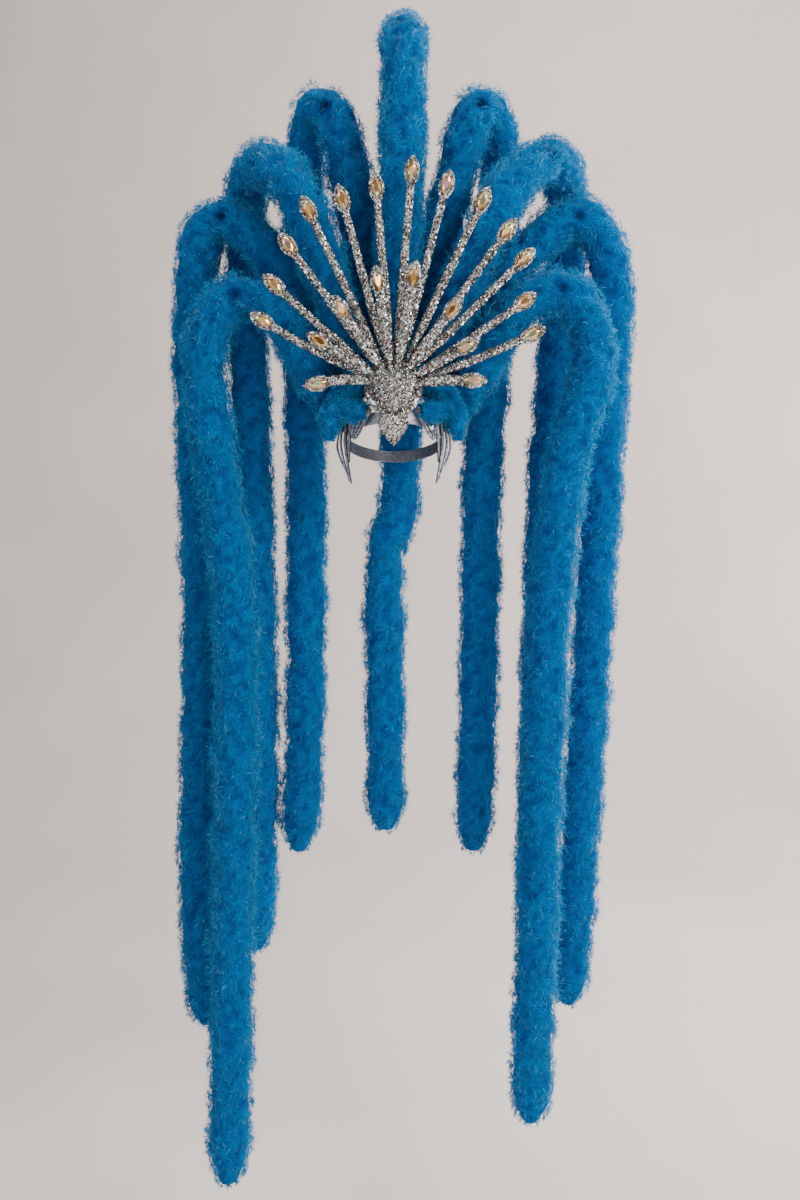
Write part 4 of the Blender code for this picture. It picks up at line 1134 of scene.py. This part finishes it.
def round_head(turn, height, stand_off, side):
    """A place beside the band's outer face and the way out from it. The side is 1 for the right."""
    angle = math.radians(turn)
    lean = WING_LEAN_IN * min((height + WING_LIFT) / (WING_DROP - WING_LIFT), 0.0)
    leaning_out = BAND_HEIGHT / 2 * math.sin(BAND_TILT) * max(math.cos(angle), 0.0)
    clear = BAND_THICKNESS + WING_SEAT_GAP + leaning_out
    width = HEAD_WIDTH / 2 + clear + stand_off + lean
    depth = HEAD_DEPTH / 2 + clear + stand_off + lean
    place = np.array((
        side * width * math.sin(angle),
        -depth * math.cos(angle) * math.cos(BAND_TILT),
        depth * math.cos(angle) * math.sin(BAND_TILT) + height,
    ))
    return place, unit(np.array((side * math.sin(angle) / width, -math.cos(angle) / depth, 0.0)))


def braid_strip(places, outs, breadths, thickness):
    """A strip of braid with a flat back and three ribs along its face.

    It gives the strip, how high each of its places is on a rib, and the lines of its two edges.
    """
    places, outs = np.array(places), np.array(outs)
    across = unit(np.cross(np.gradient(places, axis=0), outs)) * np.array(breadths)[:, None] / 2
    reach = np.linspace(-1.0, 1.0, 13)
    ribs = np.abs(np.cos(reach * np.pi * 1.5))
    rise = thickness * (0.22 + 0.78 * ribs)
    face = places[:, None] + across[:, None] * reach[:, None] + outs[:, None] * rise[:, None]
    back = np.stack([places + across, places - across], axis=1)
    # Grooves and the back get low heights, which the braid's colour turns into painted shade.
    height = np.concatenate([np.tile(np.concatenate([ribs, [0.0, 0.0]]), len(places)), [0.5, 0.5]])
    return skin(np.concatenate([face, back], axis=1)), height, places - across, places + across


def through(values, count):
    """Values spread evenly over a table's rows, so that a run has more stops than its table."""
    rows = np.arange(len(values))
    return np.interp(np.linspace(0, len(values) - 1, count), rows, values)


draw = np.random.default_rng(430)
for name, side in (("wing_left", -1), ("wing_right", 1)):
    shapes, heights_on_rib = [], []
    for top_turn, middle_turn, foot_turn, lift, drop, flare in WING_STRIPS:
        places, outs, breadths = [], [], []
        for share in np.linspace(0.0, 1.0, 26):
            bend = math.sin(math.pi * share)
            turn = top_turn * (1 - share) + foot_turn * share
            turn += (middle_turn - (top_turn + foot_turn) / 2) * bend
            height = lift * WING_LIFT - (lift * WING_LIFT + drop * WING_DROP) * share
            place, out = round_head(turn, height, flare * WING_STRIP_WIDTH * bend, side)
            places.append(place)
            outs.append(out)
            breadths.append(WING_STRIP_WIDTH * (0.45 + 0.55 * bend))
        strip, on_rib, _, _ = braid_strip(places, outs, breadths, WING_STRIP_THICKNESS)
        shapes.append(strip)
        heights_on_rib.append(on_rib)
    for run, width, thickness in (
        (EDGE_RUN, WING_STRIP_WIDTH, WING_STRIP_THICKNESS),
        (SCROLL_RUN, SCROLL_WIDTH, SCROLL_THICKNESS),
    ):
        turns, heights, shares = (through(column, 24) for column in zip(*run))
        places, outs = zip(*(
            round_head(turn, height * WING_LIFT, 0.0, side) for turn, height in zip(turns, heights)
        ))
        strip, on_rib, near_edge, far_edge = braid_strip(places, outs, shares * width, thickness)
        cords = [twisted_cord(edge, outs, CORD_THICKNESS, CORD_LAY) for edge in (near_edge, far_edge)]
        shapes += [strip] + cords
        heights_on_rib += [on_rib] + [np.full(len(cord[0]), 0.9) for cord in cords]
    add_piece(f"{name}_braid", together(shapes), metallic, [name], smooth=50,
              marks={"rib": np.concatenate(heights_on_rib)})
    seats, normals = scattered(strip, SCROLL_GRAINS, draw, facing=0.6)
    coat = grains(seats, normals, GRAIN_SIZE * 0.8, GRAIN_HEIGHT, GRAIN_TILT, draw)
    add_glittered(f"{name}_scroll", [], [coat])


# Three round mirrors: domed glass, silvered behind and glued into a thin spun cup. Two sit on the
# plate beside the boss, and the third on the right wing's scroll.
MIRROR_DIAMETER = 0.013
MIRROR_DEPTH = 0.006
MIRROR_OUT = 0.036
MIRROR_BELOW_HUB = 0.022
MIRROR_SIDES = 28

# Silvered soda glass: near-perfect reflection with a faint cool cast.
silvered, tree = new_material("silvered_domed_glass")
spot = add_node(tree, "ShaderNodeTexCoord")
smear = add_node(tree, "ShaderNodeTexNoise", {"Vector": spot.outputs["Object"], "Scale": 300.0})
haze = add_node(tree, "ShaderNodeMapRange", {"Value": smear, "To Min": 0.03, "To Max": 0.10})
glass = add_node(tree, "ShaderNodeBsdfPrincipled", {
    "Base Color": linear("#f2f5f8"), "Metallic": 1.0, "Roughness": haze, "Coat Weight": 1.0,
})
add_node(tree, "ShaderNodeOutputMaterial", {"Surface": glass})


def turned_profile(profile, sides):
    """A shape turned about Z from pairs of radius and height."""
    circle = turns_round(sides)
    return skin([
        points(radius * np.cos(circle), radius * np.sin(circle), height) for radius, height in profile
    ])


dome_turns = np.radians(np.linspace(0, 88, 10))
half = MIRROR_DIAMETER / 2
dome = turned_profile([
    (half * 0.90 * math.cos(t), 0.0012 + (MIRROR_DEPTH - 0.0014) * math.sin(t)) for t in dome_turns
], MIRROR_SIDES)
cup = turned_profile([
    (half * 0.98, 0.0), (half, 0.0006), (half, 0.0018), (half * 0.95, 0.0023), (half * 0.89, 0.0019),
], MIRROR_SIDES)
mirror_seats = []
for name, side in (("mirror_left", -1), ("mirror_right", 1)):
    place = Vector((side * MIRROR_OUT, PLATE_FRONT - SEAT_GAP, FAN_HEIGHT - MIRROR_BELOW_HUB))
    mirror_seats.append((name, place, Vector((0, -1, 0))))
place, out = round_head(SCROLL_RUN[3][0], SCROLL_RUN[3][1] * WING_LIFT, SCROLL_THICKNESS + WING_SEAT_GAP, 1)
mirror_seats.append(("mirror_wing", Vector(place), Vector(out)))
for name, place, out in mirror_seats:
    seat = Matrix.Translation(place) @ out.to_track_quat("Z", "Y").to_matrix().to_4x4()
    add_piece(f"{name}_glass", moved_shape(seat, together([dome, cup])), silvered, [name],
              smooth=40)


# The head frame: a band of flat spring steel with rolled edges, tilted up in front, an arch over
# the crown that carries the boas' wires, and a round plate that backs the fan, all soldered.
ARCH_WIDTH = 0.034
EDGE_ROLL = 0.0011

# Steel with sprayed silver paint: satin, with the fine flow of the paint and a little wear.
painted = mottled_finish("silver_painted_steel", 220.0, 4.0, [(0.35, "#74787e"), (0.65, "#9ea2a8")],
                         {"Metallic": 0.75, "Roughness": 0.48}, peel=(0.25, 0.0004))

steps = 96
middle = BAND_THICKNESS / 2
tilt = np.array(Matrix.Rotation(-BAND_TILT, 3, "X"))


def band_hoop(section):
    """A hoop round the head from its section: pairs of how far out and how high."""
    rings = []
    for turn in turns_round(steps):
        out = unit(np.array((math.cos(turn) / HEAD_WIDTH, math.sin(turn) / HEAD_DEPTH, 0.0)))
        foot = np.array((
            (HEAD_WIDTH / 2 + middle) * math.cos(turn), (HEAD_DEPTH / 2 + middle) * math.sin(turn), 0.0,
        ))
        rings.append([foot + out * far + np.array((0.0, 0.0, high)) for far, high in section])
    rings = np.array(rings)
    places = rings.reshape(-1, 3) @ tilt.T
    sides = len(section)
    here = np.arange(steps)[:, None] * sides + np.arange(sides)
    beside = np.arange(steps)[:, None] * sides + (np.arange(sides) + 1) % sides
    count = steps * sides
    return places, np.concatenate([
        np.stack([here, (here + sides) % count, (beside + sides) % count], axis=-1).reshape(-1, 3),
        np.stack([here, (beside + sides) % count, beside], axis=-1).reshape(-1, 3),
    ])


half_thick = BAND_THICKNESS / 2 * 0.7
half_high = BAND_HEIGHT / 2
roll = turns_round(10)
flat_strip = [
    (half_thick, -half_high), (half_thick, half_high), (-half_thick, half_high), (-half_thick, -half_high),
]
hoops = [band_hoop(flat_strip)]
for edge_high in (-half_high + EDGE_ROLL, half_high - EDGE_ROLL):
    hoops.append(band_hoop([
        (EDGE_ROLL * 1.1 * math.cos(t), edge_high + EDGE_ROLL * math.sin(t)) for t in roll
    ]))

arch_turns = np.linspace(-BAND_HEIGHT / 4 / CROWN_RISE, math.pi + BAND_HEIGHT / 4 / CROWN_RISE, 49)


def over_crown(lift, depth):
    """Places over the crown, a lift above the head's own shape and a depth behind the arch's middle."""
    return points(
        (HEAD_WIDTH / 2 + lift) * np.cos(arch_turns), ARCH_SET_BACK + depth,
        (CROWN_RISE + lift) * np.sin(arch_turns),
    )


half_arch = ARCH_WIDTH / 2
arch_strip = skin(np.stack([
    over_crown(lift, depth) for lift, depth in (
        (0.0006, -half_arch), (0.0019, -half_arch), (0.0019, half_arch), (0.0006, half_arch))
], axis=1))
arch_rolls = [
    skin(np.stack([
        over_crown(0.00125 + EDGE_ROLL * 1.1 * math.sin(t), edge + EDGE_ROLL * math.cos(t)) for t in roll
    ], axis=1))
    for edge in (-half_arch + EDGE_ROLL, half_arch - EDGE_ROLL)
]
plate_half = PLATE_THICKNESS / 2
plate = turned_profile([
    (PLATE_RADIUS * 0.965, -plate_half * 0.6), (PLATE_RADIUS * 0.98, -plate_half),
    (PLATE_RADIUS, -plate_half * 0.4), (PLATE_RADIUS, plate_half * 0.4),
    (PLATE_RADIUS * 0.98, plate_half), (PLATE_RADIUS * 0.965, plate_half * 0.6),
], 64)
stand_up = Matrix.Translation((0, BAND_FRONT, FAN_HEIGHT)) @ Matrix.Rotation(math.radians(90), 4, "X")
frame_parts = hoops + [arch_strip] + arch_rolls + [moved_shape(stand_up, plate)]
add_piece("head_frame_steel", together(frame_parts), painted, ["head_frame"], smooth=50)
